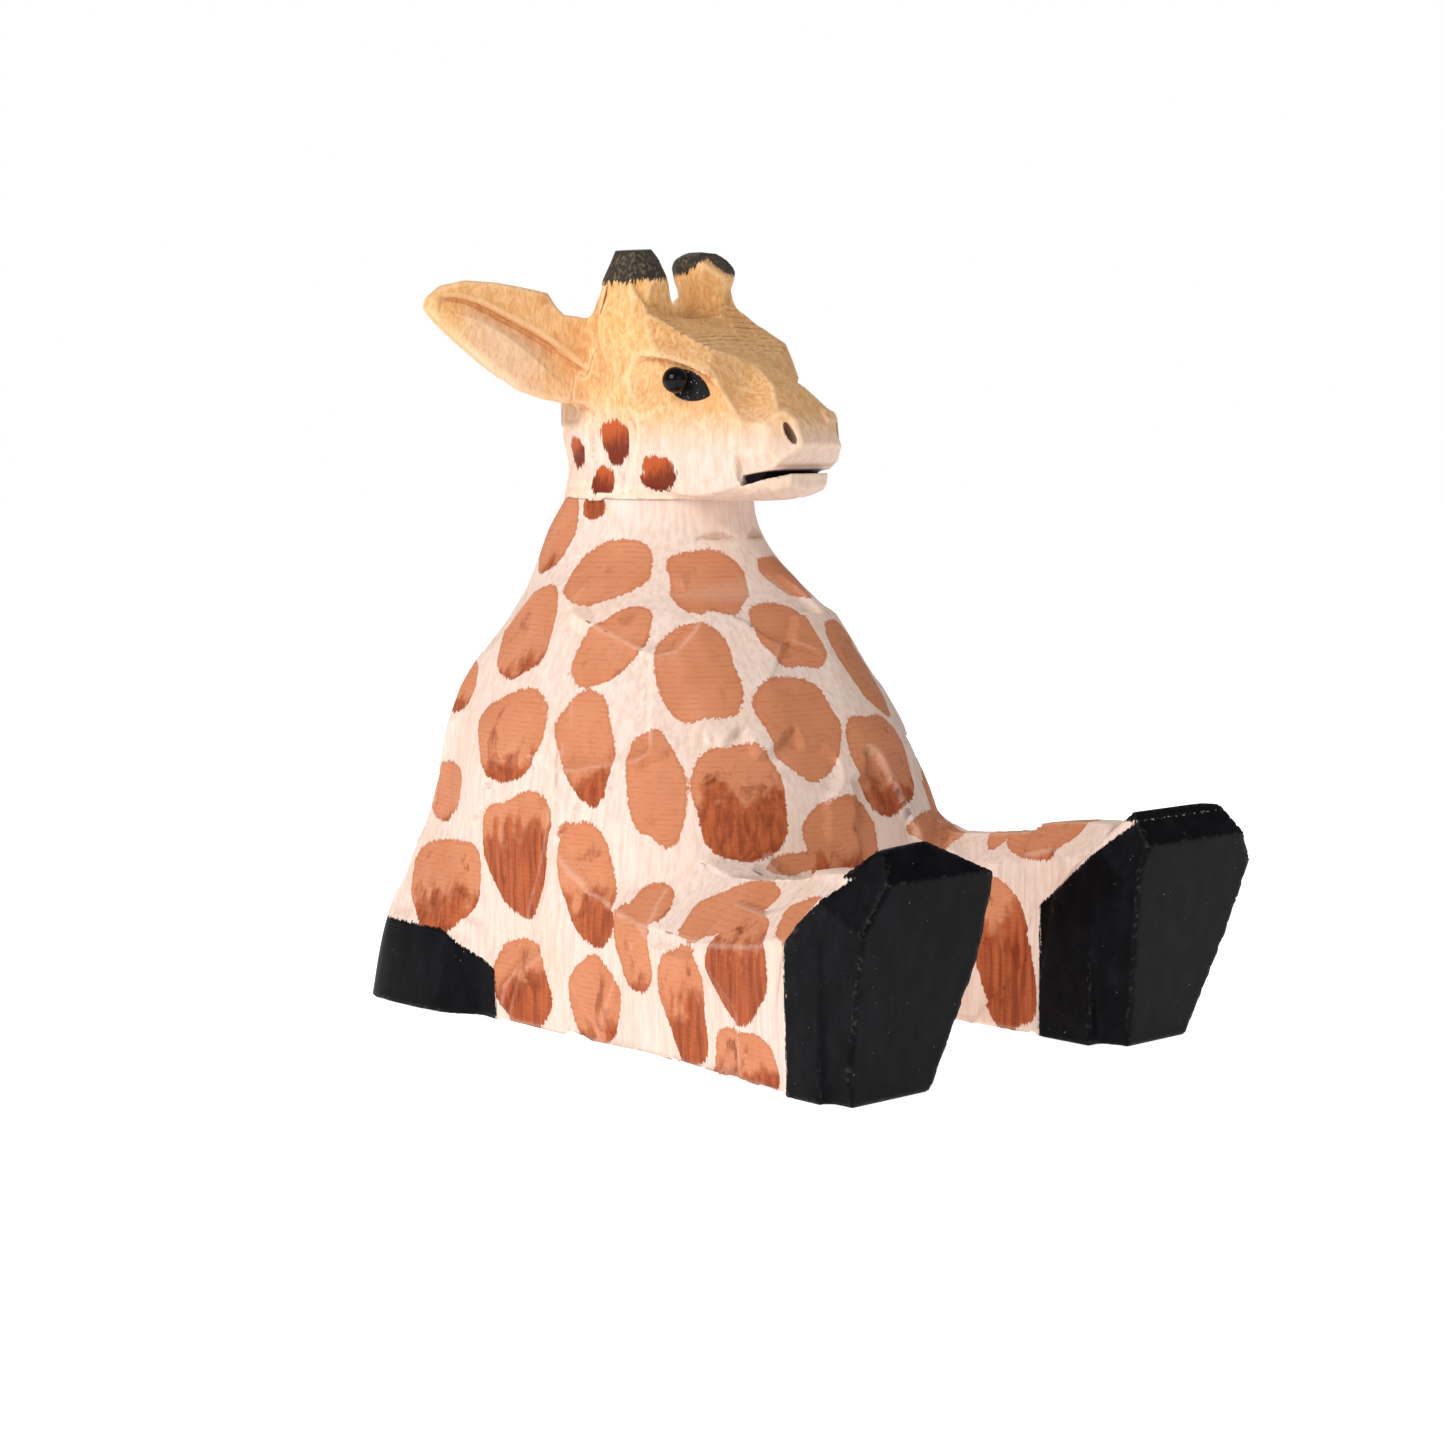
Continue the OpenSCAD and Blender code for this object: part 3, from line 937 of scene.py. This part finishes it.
def head_only(p):
    q = mirrored(p)
    shape = head_and_ears(p)
    e = to_ear(q)
    shape = np.maximum(shape, -ear_part(e) - OVERLAP)
    shape = np.maximum(shape, -pin_hole(e))
    low = p[:, 2] < JOINT_Z + 1
    seat = only_where(low, p[:, 2] - JOINT_Z, neck, to_body(p)) - GLUE_GAP
    shape = np.maximum(shape, -np.maximum(seat, p[:, 2] - JOINT_Z - GLUE_GAP))
    dowel = np.maximum(np.hypot(p[:, 0], p[:, 1]) - DOWEL_R, p[:, 2] - JOINT_Z - DOWEL_HALF) - GLUE_GAP
    shape = np.maximum(shape, -dowel)
    bead = np.linalg.norm(q - np.array(BEAD), axis=1) - BEAD_R - GLUE_GAP
    shank = np.hypot(q[:, 1] - BEAD[1], q[:, 2] - BEAD[2]) - SHANK_R - GLUE_GAP
    shank = np.maximum(shank, np.abs(q[:, 0] - BEAD[0] + SHANK_LENGTH / 2) - SHANK_LENGTH / 2)
    return np.maximum(shape, -np.minimum(bead, shank))


# Dark brush spots on the jaws, as on the body; x is the right side's, and the left has its own
JAW_SPOTS = (
    (-11, -0.9, 66.2, 2.2, 2.6, -6, "wedge", 0),
    (-10.9, -6.7, 62.5, 2.1, 2.1, 0, "round", 0),
    (-10.5, 0.9, 61.5, 1.7, 2.2, -20, "leaf", 0),
    (-9, 5.9, 65.2, 1.9, 1.9, 0, "leaf", 0),
    (11, -1.6, 65.6, 2.1, 2.5, 10, "wedge", 0),
    (10.8, -6.4, 62.9, 2.2, 2, 0, "round", 0),
    (10.2, 1.4, 61.2, 1.9, 1.9, 15, "leaf", 0),
    (9, 5.6, 65.6, 1.9, 2.1, 0, "leaf", 0),
    (2.5, 11.4, 66, 2.2, 2.4, 0, "round", 0),
    (-3.4, 11, 69, 2, 2.2, 0, "round", 0),
)


# The black almond that the bead sits in: its middle, half height, arcs' radius and tilt
PATCH_Y, PATCH_Z = -10.15, 72.75
PATCH_HALF = 1.7
PATCH_ARC = 3.45
PATCH_TILT = math.radians(24)


def eye_patch(q):
    """Signed distance to the almond, across the side of the head."""
    cs, ss = math.cos(PATCH_TILT), math.sin(PATCH_TILT)
    a = PATCH_Y - q[:, 1]
    b = q[:, 2] - PATCH_Z
    a, b = a * cs - b * ss, b * cs + a * ss
    arc = np.hypot(a, np.abs(b) + PATCH_ARC - PATCH_HALF) - PATCH_ARC
    return np.maximum(arc, 9 - q[:, 0])


def tip_paint(p):
    """Signed distance to the dark brushed tips of the horns."""
    angle = np.arctan2(p[:, 1] - HORN[1], p[:, 0] - HORN[0])
    facet = np.exp(-(((angle + 2.35) / 0.55) ** 2))
    left = 86.1 + 1.9 * facet
    right = 84.9 + 0.12 * (p[:, 0] + HORN[0])
    return np.where(p[:, 0] > 0, left, right) - p[:, 2]


def wash(p):
    """How strongly the head is stained yellow-orange: the crown most, then paler down to the jaw."""
    z = p[:, 2]
    behind = ease((p[:, 1] + 6) / 10)
    rise = ease((z - 63.4 - 1.6 * behind) / 8)
    return np.clip(0.12 + 0.72 * rise + 0.14 * ease((z - 76) / 5), 0, 1)


def head_paints(p, field):
    q = mirrored(p)
    normals = facing_of(field, p, 0.3)
    paints = lay_spots(p, normals, JAW_SPOTS, 11)
    paints["tip_d"] = tip_paint(p)
    bare = np.maximum(p[:, 2] - HORN_TOP, 0)
    paints["hole_d"] = np.minimum(nostrils(p), slit_height(p)) + bare
    paints["eye_d"] = eye_patch(q)
    paints["wash"] = wash(p)
    plate = forehead(p, q)
    sawn = ease((0.35 - np.abs(plate)) / 0.2) * ease((-5.4 - p[:, 1]) / 0.6)
    paints["sawn"] = sawn * ease((p[:, 1] + 13) / 2)
    paints["ahead"] = p[:, 1]
    return paints


def make_head():
    low = (-14, NOSE_FRONT - 1.5, JAW_LOW - 1)
    high = (15, 13, HORN_TOP + 1)

    def fine(vertices):
        share = ease((vertices[:, 1] + 12) / 6) * ease((86 - vertices[:, 2]) / 3)
        share *= ease((np.linalg.norm(to_ear(mirrored(vertices)), axis=1) - 5.5) / 2.5)
        return knife_facets(head_only, vertices, share, *HEAD_FACETS)

    vertices, faces, bend = carve(head_only, fine, low, high, HEAD_CELL)
    paints = head_paints(vertices, head_only)
    paints["bend"] = bend
    return to_object("carved_head", vertices, faces, head_in_row, "head", paints)


def ear_paints(e):
    far, height, out = e.T
    crease = along(EAR_CREASE, far)[0]
    inside = ease((crease - height) / 1.5) * ease((out + 0.4) / 0.6)
    stained = 0.88 - 0.28 * inside * ease((19 - far) / 6) + 0.25 * ease((far - 16) / 4)
    root = ease((far - 2) / 7)
    # Painted shade: a darker line along the front of the crease, where the rim overhangs the cup
    line = ease((out - 0.5) / 0.5) * np.exp(-(((height - crease - 0.2) / 0.7) ** 2))
    nick = ease((1.5 - np.hypot(far - 6.6, height - 4.8)) / 1.2)
    return {
        "wash": root * np.clip(stained, 0, 1) + (1 - root) * wash(from_ear(e)),
        # This attribute holds the painted crease shade and the dark nick at the ear's root
        "stain": np.maximum(line * ease((far - 2) / 2) * 0.6, nick),
    }


def make_ear(name, side):
    mirror = np.array([side, 1, 1])

    def field(e):
        whole = head_and_ears(from_ear(e) * mirror)
        return np.max((whole, ear_part(e), -pin_hole(e)), axis=0)

    def fine(vertices):
        behind = ease((0.3 - vertices[:, 2]) / 0.6) * ease((vertices[:, 0] - 2) / 2)
        spacing, seed, inset, depth = EAR_FACETS
        return knife_facets(field, vertices, behind, spacing, seed + side, inset, depth)

    def place(e):
        return head_in_row(from_ear(e) * mirror)

    vertices, faces, bend = carve(field, fine, (-1, -8, -4.5), (22.5, 7.5, 4.5), EAR_CELL)
    if side < 0:
        faces = faces[:, ::-1]
    paints = ear_paints(vertices)
    paints["bend"] = bend
    node = "left_ear" if side > 0 else "right_ear"
    return to_object(name, vertices, faces, place, node, paints)


def make_eye(name, side):
    """A glass bead on its shank, turned round the shank's axis."""
    bead_steps, turns, shank_bevel = 40, 48, 0.15
    neck = math.asin(SHANK_R / BEAD_R)
    angles = [k / bead_steps * (math.pi - neck) for k in range(bead_steps + 1)]
    profile = [(BEAD_R * math.cos(a), BEAD_R * math.sin(a)) for a in angles]
    profile.append((-SHANK_LENGTH + shank_bevel, SHANK_R))
    profile.append((-SHANK_LENGTH, SHANK_R - shank_bevel))
    profile.append((-SHANK_LENGTH, 0))
    vertices, faces = [], []
    for x, r in profile:
        for k in range(turns):
            a = 2 * math.pi * k / turns
            vertices.append((BEAD[0] + x, BEAD[1] + r * math.cos(a), BEAD[2] + r * math.sin(a)))
    for i in range(0, (len(profile) - 1) * turns, turns):
        for k in range(turns):
            m = (k + 1) % turns
            faces.append((i + k, i + turns + k, i + turns + m, i + m))
    vertices = np.array(vertices) * np.array([side, 1, 1])
    faces = np.array(faces)
    if side > 0:
        faces = faces[:, ::-1]
    node = "left_eye" if side > 0 else "right_eye"
    piece = to_object(name, vertices, faces, head_in_row, node, {})
    tidy = bmesh.new()
    tidy.from_mesh(piece.data)
    bmesh.ops.remove_doubles(tidy, verts=tidy.verts, dist=1e-7)
    bmesh.ops.recalc_face_normals(tidy, faces=tidy.faces)
    tidy.to_mesh(piece.data)
    tidy.free()
    piece.data.shade_smooth()
    return piece


# ---------------------------------------------------------------- materials
def linear(level):
    share = level / 255
    return share / 12.92 if share <= 0.04045 else ((share + 0.055) / 1.055) ** 2.4


def colour(red, green, blue):
    """A colour given as a painter reads it off a chart, 0 to 255, in the linear form nodes take."""
    return (linear(red), linear(green), linear(blue), 1)


BUMP_DEPTH = 0.05
BUMP_STRENGTH = 0.5
SAWN_GAP = 0.8
RIPPLE_GAP = 0.56


class Paint:
    """Short words for building one node material in millimetres."""

    def __init__(self, name):
        self.material = bpy.data.materials.new(name)
        self.material.use_nodes = True
        self.tree = self.material.node_tree
        self.shader = self.tree.nodes["Principled BSDF"]
        place = self.node("TexCoord", {}).outputs["Object"]
        scale = self.node("VectorMath", {0: place}, operation="SCALE")
        scale.inputs["Scale"].default_value = 1 / MM
        self.place = scale.outputs[0]

    def put(self, socket, value):
        if isinstance(value, bpy.types.NodeSocket):
            self.tree.links.new(value, socket)
        else:
            socket.default_value = value

    def node(self, kind, inputs, **settings):
        """A new node with these settings, whose inputs are linked or set."""
        node = self.tree.nodes.new("ShaderNode" + kind)
        for name, value in settings.items():
            setattr(node, name, value)
        for socket, value in inputs.items():
            self.put(node.inputs[socket], value)
        return node

    def math(self, operation, a, b=0.0):
        return self.node("Math", {0: a, 1: b}, operation=operation).outputs[0]

    def plus(self, a, b):
        return self.math("ADD", a, b)

    def less(self, a, b):
        return self.math("SUBTRACT", a, b)

    def times(self, a, b):
        return self.math("MULTIPLY", a, b)

    def swing(self, value, size):
        """A value between 0 and 1 turned into one that swings about 0."""
        return self.times(self.less(value, 0.5), size)

    def attribute(self, name):
        return self.node("Attribute", {}, attribute_name=name).outputs["Fac"]

    def ramp(self, value, low, high, out_low=0.0, out_high=1.0):
        """Smooth step of value from low to high."""
        ends = {"From Min": low, "From Max": high, "To Min": out_low, "To Max": out_high}
        node = self.node("MapRange", {"Value": value, **ends}, interpolation_type="SMOOTHSTEP")
        return node.outputs["Result"]

    def noise(self, scales, detail=3.0, rough=0.55, twist=0.0):
        """Noise with so many bumps a millimetre along X, Y and Z, from 0 to 1."""
        place = self.node("Mapping", {"Vector": self.place, "Scale": scales}).outputs["Vector"]
        looks = {"Scale": 1, "Detail": detail, "Roughness": rough, "Distortion": twist}
        return self.node("TexNoise", {"Vector": place, **looks}).outputs["Fac"]

    def mix(self, share, a, b, blend="MIX"):
        inputs = {"Factor": share, 6: a, 7: b}
        return self.node("Mix", inputs, data_type="RGBA", blend_type=blend).outputs[2]

    def bump(self, height):
        inputs = {"Height": height, "Distance": BUMP_DEPTH * MM, "Strength": BUMP_STRENGTH}
        self.put(self.shader.inputs["Normal"], self.node("Bump", inputs).outputs["Normal"])

    def finish(self, base, roughness, specular):
        self.put(self.shader.inputs["Base Color"], base)
        self.put(self.shader.inputs["Roughness"], roughness)
        self.shader.inputs["Specular IOR Level"].default_value = specular
        return self.material


def bare_wood(n):
    """Pale, slightly pink wood with fine upright grain and short flecks. Returns colour and height."""
    grain = n.noise((1.6, 1.6, 0.16), 4, 0.6)
    fleck = n.noise((5.5, 5.5, 0.7), 2, 0.5)
    cloud = n.noise((0.12, 0.12, 0.06), 2)
    base = n.mix(n.ramp(grain, 0.35, 0.7), colour(228, 208, 197), colour(216, 189, 175))
    base = n.mix(n.times(n.ramp(fleck, 0.6, 0.75), 0.35), base, colour(192, 154, 130))
    base = n.mix(n.times(n.ramp(cloud, 0.4, 0.75), 0.35), base, colour(224, 188, 162))
    return base, n.plus(n.times(grain, 0.5), n.times(fleck, 0.5))


def brushed_edge(n, distance, bumps, fine, streak):
    """A painted patch's signed distance with the raggedness and the hairs that a brush leaves.

    Bumps gives how many a millimetre there are of the first, and of the second across and along.
    """
    ragged = n.swing(n.noise((bumps[0],) * 3, 3), fine)
    hairs = n.swing(n.noise((bumps[1], bumps[1], bumps[2]), 2), streak)
    return n.plus(distance, n.plus(ragged, hairs))


def ripples(n):
    """Fine level ripples that the coarse coat leaves, broken up along their length."""
    axes = n.node("SeparateXYZ", {0: n.place})
    sway = n.times(n.noise((0.35, 0.35, 0.35), 2), 4.2)
    wave = n.math("SINE", n.plus(n.times(axes.outputs["Z"], 2 * math.pi / RIPPLE_GAP), sway))
    broken = n.ramp(n.noise((0.8, 0.8, 2.5), 2), 0.38, 0.62)
    return n.times(n.ramp(wave, -0.2, 1), broken)


def ridge_highlight_and_crease_shade(n, base, ridge_highlight_and_wear, light, dark):
    """Ridges made paler towards light, partly as worn paint and partly as a painted highlight; creases
    darkened towards dark as painted shade.
    """
    bend = n.attribute("bend")
    base = n.mix(n.times(n.ramp(bend, 0.03, 0.25), ridge_highlight_and_wear), base, light)
    crease_shaded = n.mix(1.0, base, dark, "MULTIPLY")
    return n.mix(n.times(n.ramp(bend, -0.02, -0.25), 0.5), base, crease_shaded)


def spot_paint(n, base):
    """Tan-orange first coat with darker second-coat patches and streaks over the given base."""
    distance = n.attribute("spot_d")
    height = n.attribute("spot_v")
    coats = n.attribute("coat")
    streak = n.plus(0.25, n.times(n.ramp(n.math("ABSOLUTE", height), 0.5, 1), 0.9))
    edge = brushed_edge(n, distance, (2, 4, 0.2), 0.75, streak)
    mask = n.ramp(edge, 0.1, -0.1)
    wave = ripples(n)
    first = n.mix(n.noise((0.2, 0.2, 0.15), 2), colour(208, 142, 106), colour(188, 116, 80))
    first = n.mix(n.times(wave, 0.3), first, colour(172, 98, 62))
    upright = n.noise((1.6, 1.6, 0.14), 3)
    level = n.less(n.times(coats, 2.4), 1.25)
    sway = n.swing(n.noise((0.45, 0.45, 0.3), 2), 1.6)
    drop = n.less(level, n.plus(height, n.swing(upright, 0.7)))
    second = n.ramp(n.plus(drop, sway), -0.16, 0.3)
    coat = n.mix(n.ramp(upright, 0.3, 0.7), colour(174, 88, 50), colour(124, 52, 28))
    coat = n.mix(n.times(wave, 0.2), coat, colour(120, 52, 26))
    paint = n.mix(n.times(second, 0.9), first, coat)
    blot = n.noise((0.3, 0.3, 0.22), 3, 0.6, 0.6)
    blot = n.times(n.ramp(blot, 0.56, 0.7), n.ramp(n.plus(distance, 0.8), 0, -1.2))
    blot = n.times(blot, n.ramp(coats, 0, 0.5, 0.25, 1))
    paint = n.mix(n.times(blot, 0.75), paint, colour(116, 48, 22))
    rim = n.times(n.ramp(edge, -0.55, -0.02), 0.3)
    paint = n.mix(rim, paint, colour(160, 82, 48))
    return n.mix(mask, base, paint), mask, wave


def black_paint(n, base):
    """Satin black with dust specks, greyer where its edges are worn."""
    edge = brushed_edge(n, n.attribute("black_d"), (2.2, 4.5, 0.25), 0.5, 0.9)
    mask = n.ramp(edge, 0.1, -0.1)
    cloud = n.noise((0.5, 0.5, 0.3), 4, 0.65)
    black = n.mix(n.ramp(cloud, 0.35, 0.85), colour(5, 5, 8), colour(19, 18, 23))
    speck = n.ramp(n.noise((3.2, 3.2, 3.2), 1, 0.4), 0.79, 0.83)
    black = n.mix(n.times(speck, 0.7), black, colour(160, 158, 158))
    patchy = n.ramp(n.noise((1.6, 1.6, 1.6), 3), 0.5, 0.68)
    worn = n.times(n.ramp(n.attribute("bend"), 0.1, 0.35), patchy)
    black = n.mix(n.times(worn, 0.1), black, colour(140, 136, 134))
    return n.mix(mask, base, black), mask


def body_material():
    n = Paint("spotted_wood")
    base, height = bare_wood(n)
    base, mask, wave = spot_paint(n, base)
    # Painted highlight, with some wear, paler on the ridges; painted shade darker in the creases
    base = ridge_highlight_and_crease_shade(n, base, 0.16, colour(244, 226, 212), colour(200, 168, 152))
    base, black = black_paint(n, base)
    roughness = n.less(n.less(0.62, n.times(mask, 0.12)), n.times(black, 0.18))
    n.bump(n.plus(n.times(height, 0.6), n.times(n.times(wave, mask), -0.5)))
    return n.finish(base, roughness, 0.06)


def stained_wood(n):
    """Wood with a yellow-orange stain that has taken unevenly. Returns colour and relief."""
    base, height = bare_wood(n)
    curl = n.noise((0.9, 0.9, 0.35), 4, 0.62, 2.2)
    patch = n.noise((0.16, 0.16, 0.16), 3)
    warm = n.mix(n.ramp(curl, 0.32, 0.68), colour(234, 186, 126), colour(210, 150, 90))
    warm = n.mix(n.times(n.ramp(patch, 0.52, 0.75), 0.55), warm, colour(206, 138, 70))
    uneven = n.plus(n.attribute("wash"), n.swing(curl, 0.5))
    return n.mix(n.ramp(uneven, -0.05, 1.05), base, warm), n.plus(height, n.times(curl, 0.8))


def saw_marks(n, base):
    """Rows of fine dark marks across the brow plate. Returns the colour and the marks."""
    row = n.math("SINE", n.times(n.attribute("ahead"), 2 * math.pi / SAWN_GAP))
    row = n.times(n.ramp(row, 0.2, 1), n.ramp(n.noise((0.5, 0.5, 0.5), 3), 0.35, 0.65))
    row = n.times(row, n.attribute("sawn"))
    return n.mix(n.times(row, 0.7), base, colour(158, 104, 58)), row


def jaw_spots(n, base):
    hairs = n.swing(n.noise((3.6, 3.6, 0.3), 2), 1.5)
    edge = n.plus(n.attribute("spot_d"), hairs)
    rise = n.ramp(n.plus(n.attribute("spot_v"), n.times(hairs, 0.8)), -0.3, 0.7)
    red = n.mix(rise, colour(112, 44, 24), colour(176, 84, 42))
    return n.mix(n.ramp(edge, 0.18, -0.12), base, red)


def horn_tips(n, base):
    strokes = n.swing(n.noise((3.4, 3.4, 0.35), 3), 2.2)
    mask = n.ramp(n.plus(n.attribute("tip_d"), strokes), 0.15, -0.2)
    speckle = n.ramp(n.noise((3, 3, 2), 3), 0.45, 0.7)
    return n.mix(mask, base, n.mix(speckle, colour(52, 46, 40), colour(104, 90, 70)))


def head_material():
    n = Paint("stained_head_wood")
    base, relief = stained_wood(n)
    # Painted highlight, with some wear, paler on the ridges; painted shade darker in the creases
    base = ridge_highlight_and_crease_shade(n, base, 0.24, colour(250, 222, 184), colour(206, 160, 128))
    base, row = saw_marks(n, base)
    base = horn_tips(n, jaw_spots(n, base))
    base = n.mix(n.ramp(n.attribute("hole_d"), 0.06, -0.06), base, colour(24, 15, 20))
    eye = n.ramp(n.attribute("eye_d"), 0.05, -0.08)
    # Painted glints: white specks in the black almond stand in for sparkling reflections of the light
    painted_glints = n.ramp(n.noise((5.5, 5.5, 5.5), 1, 0.3), 0.71, 0.75)
    base = n.mix(eye, base, n.mix(painted_glints, colour(18, 16, 18), colour(226, 226, 226)))
    n.bump(n.less(relief, row))
    return n.finish(base, n.less(0.6, n.times(eye, 0.25)), 0.15)


def ear_material():
    n = Paint("stained_ear_wood")
    base, relief = stained_wood(n)
    # Darker brown: painted shade along the crease, and the dark nick at the root
    base = n.mix(n.times(n.attribute("stain"), 0.6), base, colour(176, 110, 58))
    # Painted highlight, with some wear, paler on the ridges; painted shade darker in the creases
    base = ridge_highlight_and_crease_shade(n, base, 0.24, colour(250, 222, 184), colour(206, 160, 128))
    n.bump(relief)
    return n.finish(base, 0.6, 0.35)


def glass_material():
    n = Paint("black_glass_bead")
    swirl = n.noise((0.9, 0.9, 0.9), 3)
    base = n.mix(swirl, colour(4, 4, 5), colour(12, 10, 12))
    return n.finish(base, n.ramp(swirl, 0, 1, 0.06, 0.12), 0.16)


def dowel_material(name, light, dark, ring_scale):
    """Turned stick: long grain down its length, and end grain where it was sawn."""
    n = Paint(name)
    grain = n.noise((ring_scale, ring_scale, 0.06), 4, 0.6)
    pore = n.noise((7, 7, 0.5), 2)
    base = n.mix(n.ramp(grain, 0.3, 0.7), light, dark)
    base = n.mix(n.times(n.ramp(pore, 0.62, 0.74), 0.5), base, colour(150, 104, 62))
    n.bump(n.plus(grain, pore))
    return n.finish(base, n.ramp(grain, 0, 1, 0.55, 0.72), 0.3)


def dress(piece, material):
    piece.data.materials.clear()
    piece.data.materials.append(material)


def dress_frame():
    """Gives the carried-over CAD nodes, all of them hidden in the wood, their own materials."""
    dowel = dowel_material("beech_dowel", colour(222, 184, 140), colour(196, 150, 104), 1.2)
    bamboo = dowel_material("bamboo_pin", colour(226, 200, 148), colour(198, 164, 108), 2.6)
    wood = {"neck_dowel": dowel, "left_ear_pin": bamboo, "right_ear_pin": bamboo}
    for node, material in wood.items():
        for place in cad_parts[node].material_slots:
            place.material = material


# ---------------------------------------------------------------- camera, floor, light
# Lengths here are in metres and the camera's angles in degrees, as the photograph was taken
CAMERA_AZIMUTH = -43.42
CAMERA_ELEVATION = 4.90
CAMERA_DISTANCE = 0.330
CAMERA_TARGET = (MIDDLE_X * MM, 0, 0.038)
LENS = 71.6
SENSOR = 36
SHIFT = (-0.0342, -0.0229)
FLOOR_HALF = 2.5
FLOOR_GLOW = 0.8
ROOM_LIGHT = 0.3
# Name, place, size, power and tint of each soft lamp
LAMPS = (
    ("key", (-0.62, -0.12, 0.42), 0.4, 4.0, (1, 0.985, 0.96)),
    ("fill", (-0.1, -0.8, 0.3), 0.6, 0.6, (0.96, 0.98, 1)),
    ("back", (0.35, 0.55, 0.5), 0.5, 1.2, (1, 1, 1)),
)
LAMP_AIM = (0, 0, 0.04)


def add(name, data):
    thing = bpy.data.objects.new(name, data)
    bpy.context.scene.collection.objects.link(thing)
    return thing


def make_stage():
    mesh = bpy.data.meshes.new("floor")
    corners = [(x * FLOOR_HALF, y * FLOOR_HALF, 0) for x, y in ((-1, -1), (1, -1), (1, 1), (-1, 1))]
    mesh.from_pydata(corners, [], [(0, 1, 2, 3)])
    floor = add("floor", mesh)
    n = Paint("floor_white")
    n.shader.inputs["Emission Color"].default_value = (1, 1, 1, 1)
    n.shader.inputs["Emission Strength"].default_value = FLOOR_GLOW
    pale = n.mix(n.noise((0.01, 0.01, 0.01)), colour(246, 246, 246), colour(249, 249, 249))
    mesh.materials.append(n.finish(pale, 0.7, 0.1))


def make_camera():
    azimuth, elevation = math.radians(CAMERA_AZIMUTH), math.radians(CAMERA_ELEVATION)
    flat = math.cos(elevation)
    back = np.array([math.sin(azimuth) * flat, -math.cos(azimuth) * flat, math.sin(elevation)])
    data = bpy.data.cameras.new("camera")
    camera = add("camera", data)
    camera.location = np.array(CAMERA_TARGET) + back * CAMERA_DISTANCE
    camera.rotation_euler = (math.pi / 2 - elevation, 0, azimuth)
    data.sensor_width = SENSOR
    data.lens = LENS
    data.shift_x, data.shift_y = SHIFT
    data.clip_start = 0.01
    data.clip_end = 10
    bpy.context.scene.camera = camera


def make_lights():
    for name, location, size, power, tint in LAMPS:
        data = bpy.data.lights.new(name, "AREA")
        data.size = size
        data.energy = power
        data.color = tint
        lamp = add(name, data)
        lamp.location = location
        lamp.rotation_euler = (Vector(LAMP_AIM) - lamp.location).to_track_quat("-Z", "Y").to_euler()
    world = bpy.data.worlds.new("studio")
    bpy.context.scene.world = world
    world.use_nodes = True
    nodes, links = world.node_tree.nodes, world.node_tree.links
    nodes["Background"].inputs["Color"].default_value = (1, 1, 1, 1)
    # The room lights the giraffe softly, and shows as plain white behind it
    path = nodes.new("ShaderNodeLightPath")
    strength = nodes.new("ShaderNodeMapRange")
    strength.inputs["To Min"].default_value = ROOM_LIGHT
    strength.inputs["To Max"].default_value = 1.0
    links.new(path.outputs["Is Camera Ray"], strength.inputs["Value"])
    links.new(strength.outputs["Result"], nodes["Background"].inputs["Strength"])
    bpy.context.scene.view_settings.view_transform = "Standard"


make_camera()
make_stage()
make_lights()
dress(make_body(), body_material())
dress(make_head(), head_material())
ear_wood, glass = ear_material(), glass_material()
for side, word in ((-1, "right"), (1, "left")):
    dress(make_ear(word + "_carved_ear", side), ear_wood)
for side, word in ((-1, "right"), (1, "left")):
    dress(make_eye(word + "_glass_eye", side), glass)
dress_frame()
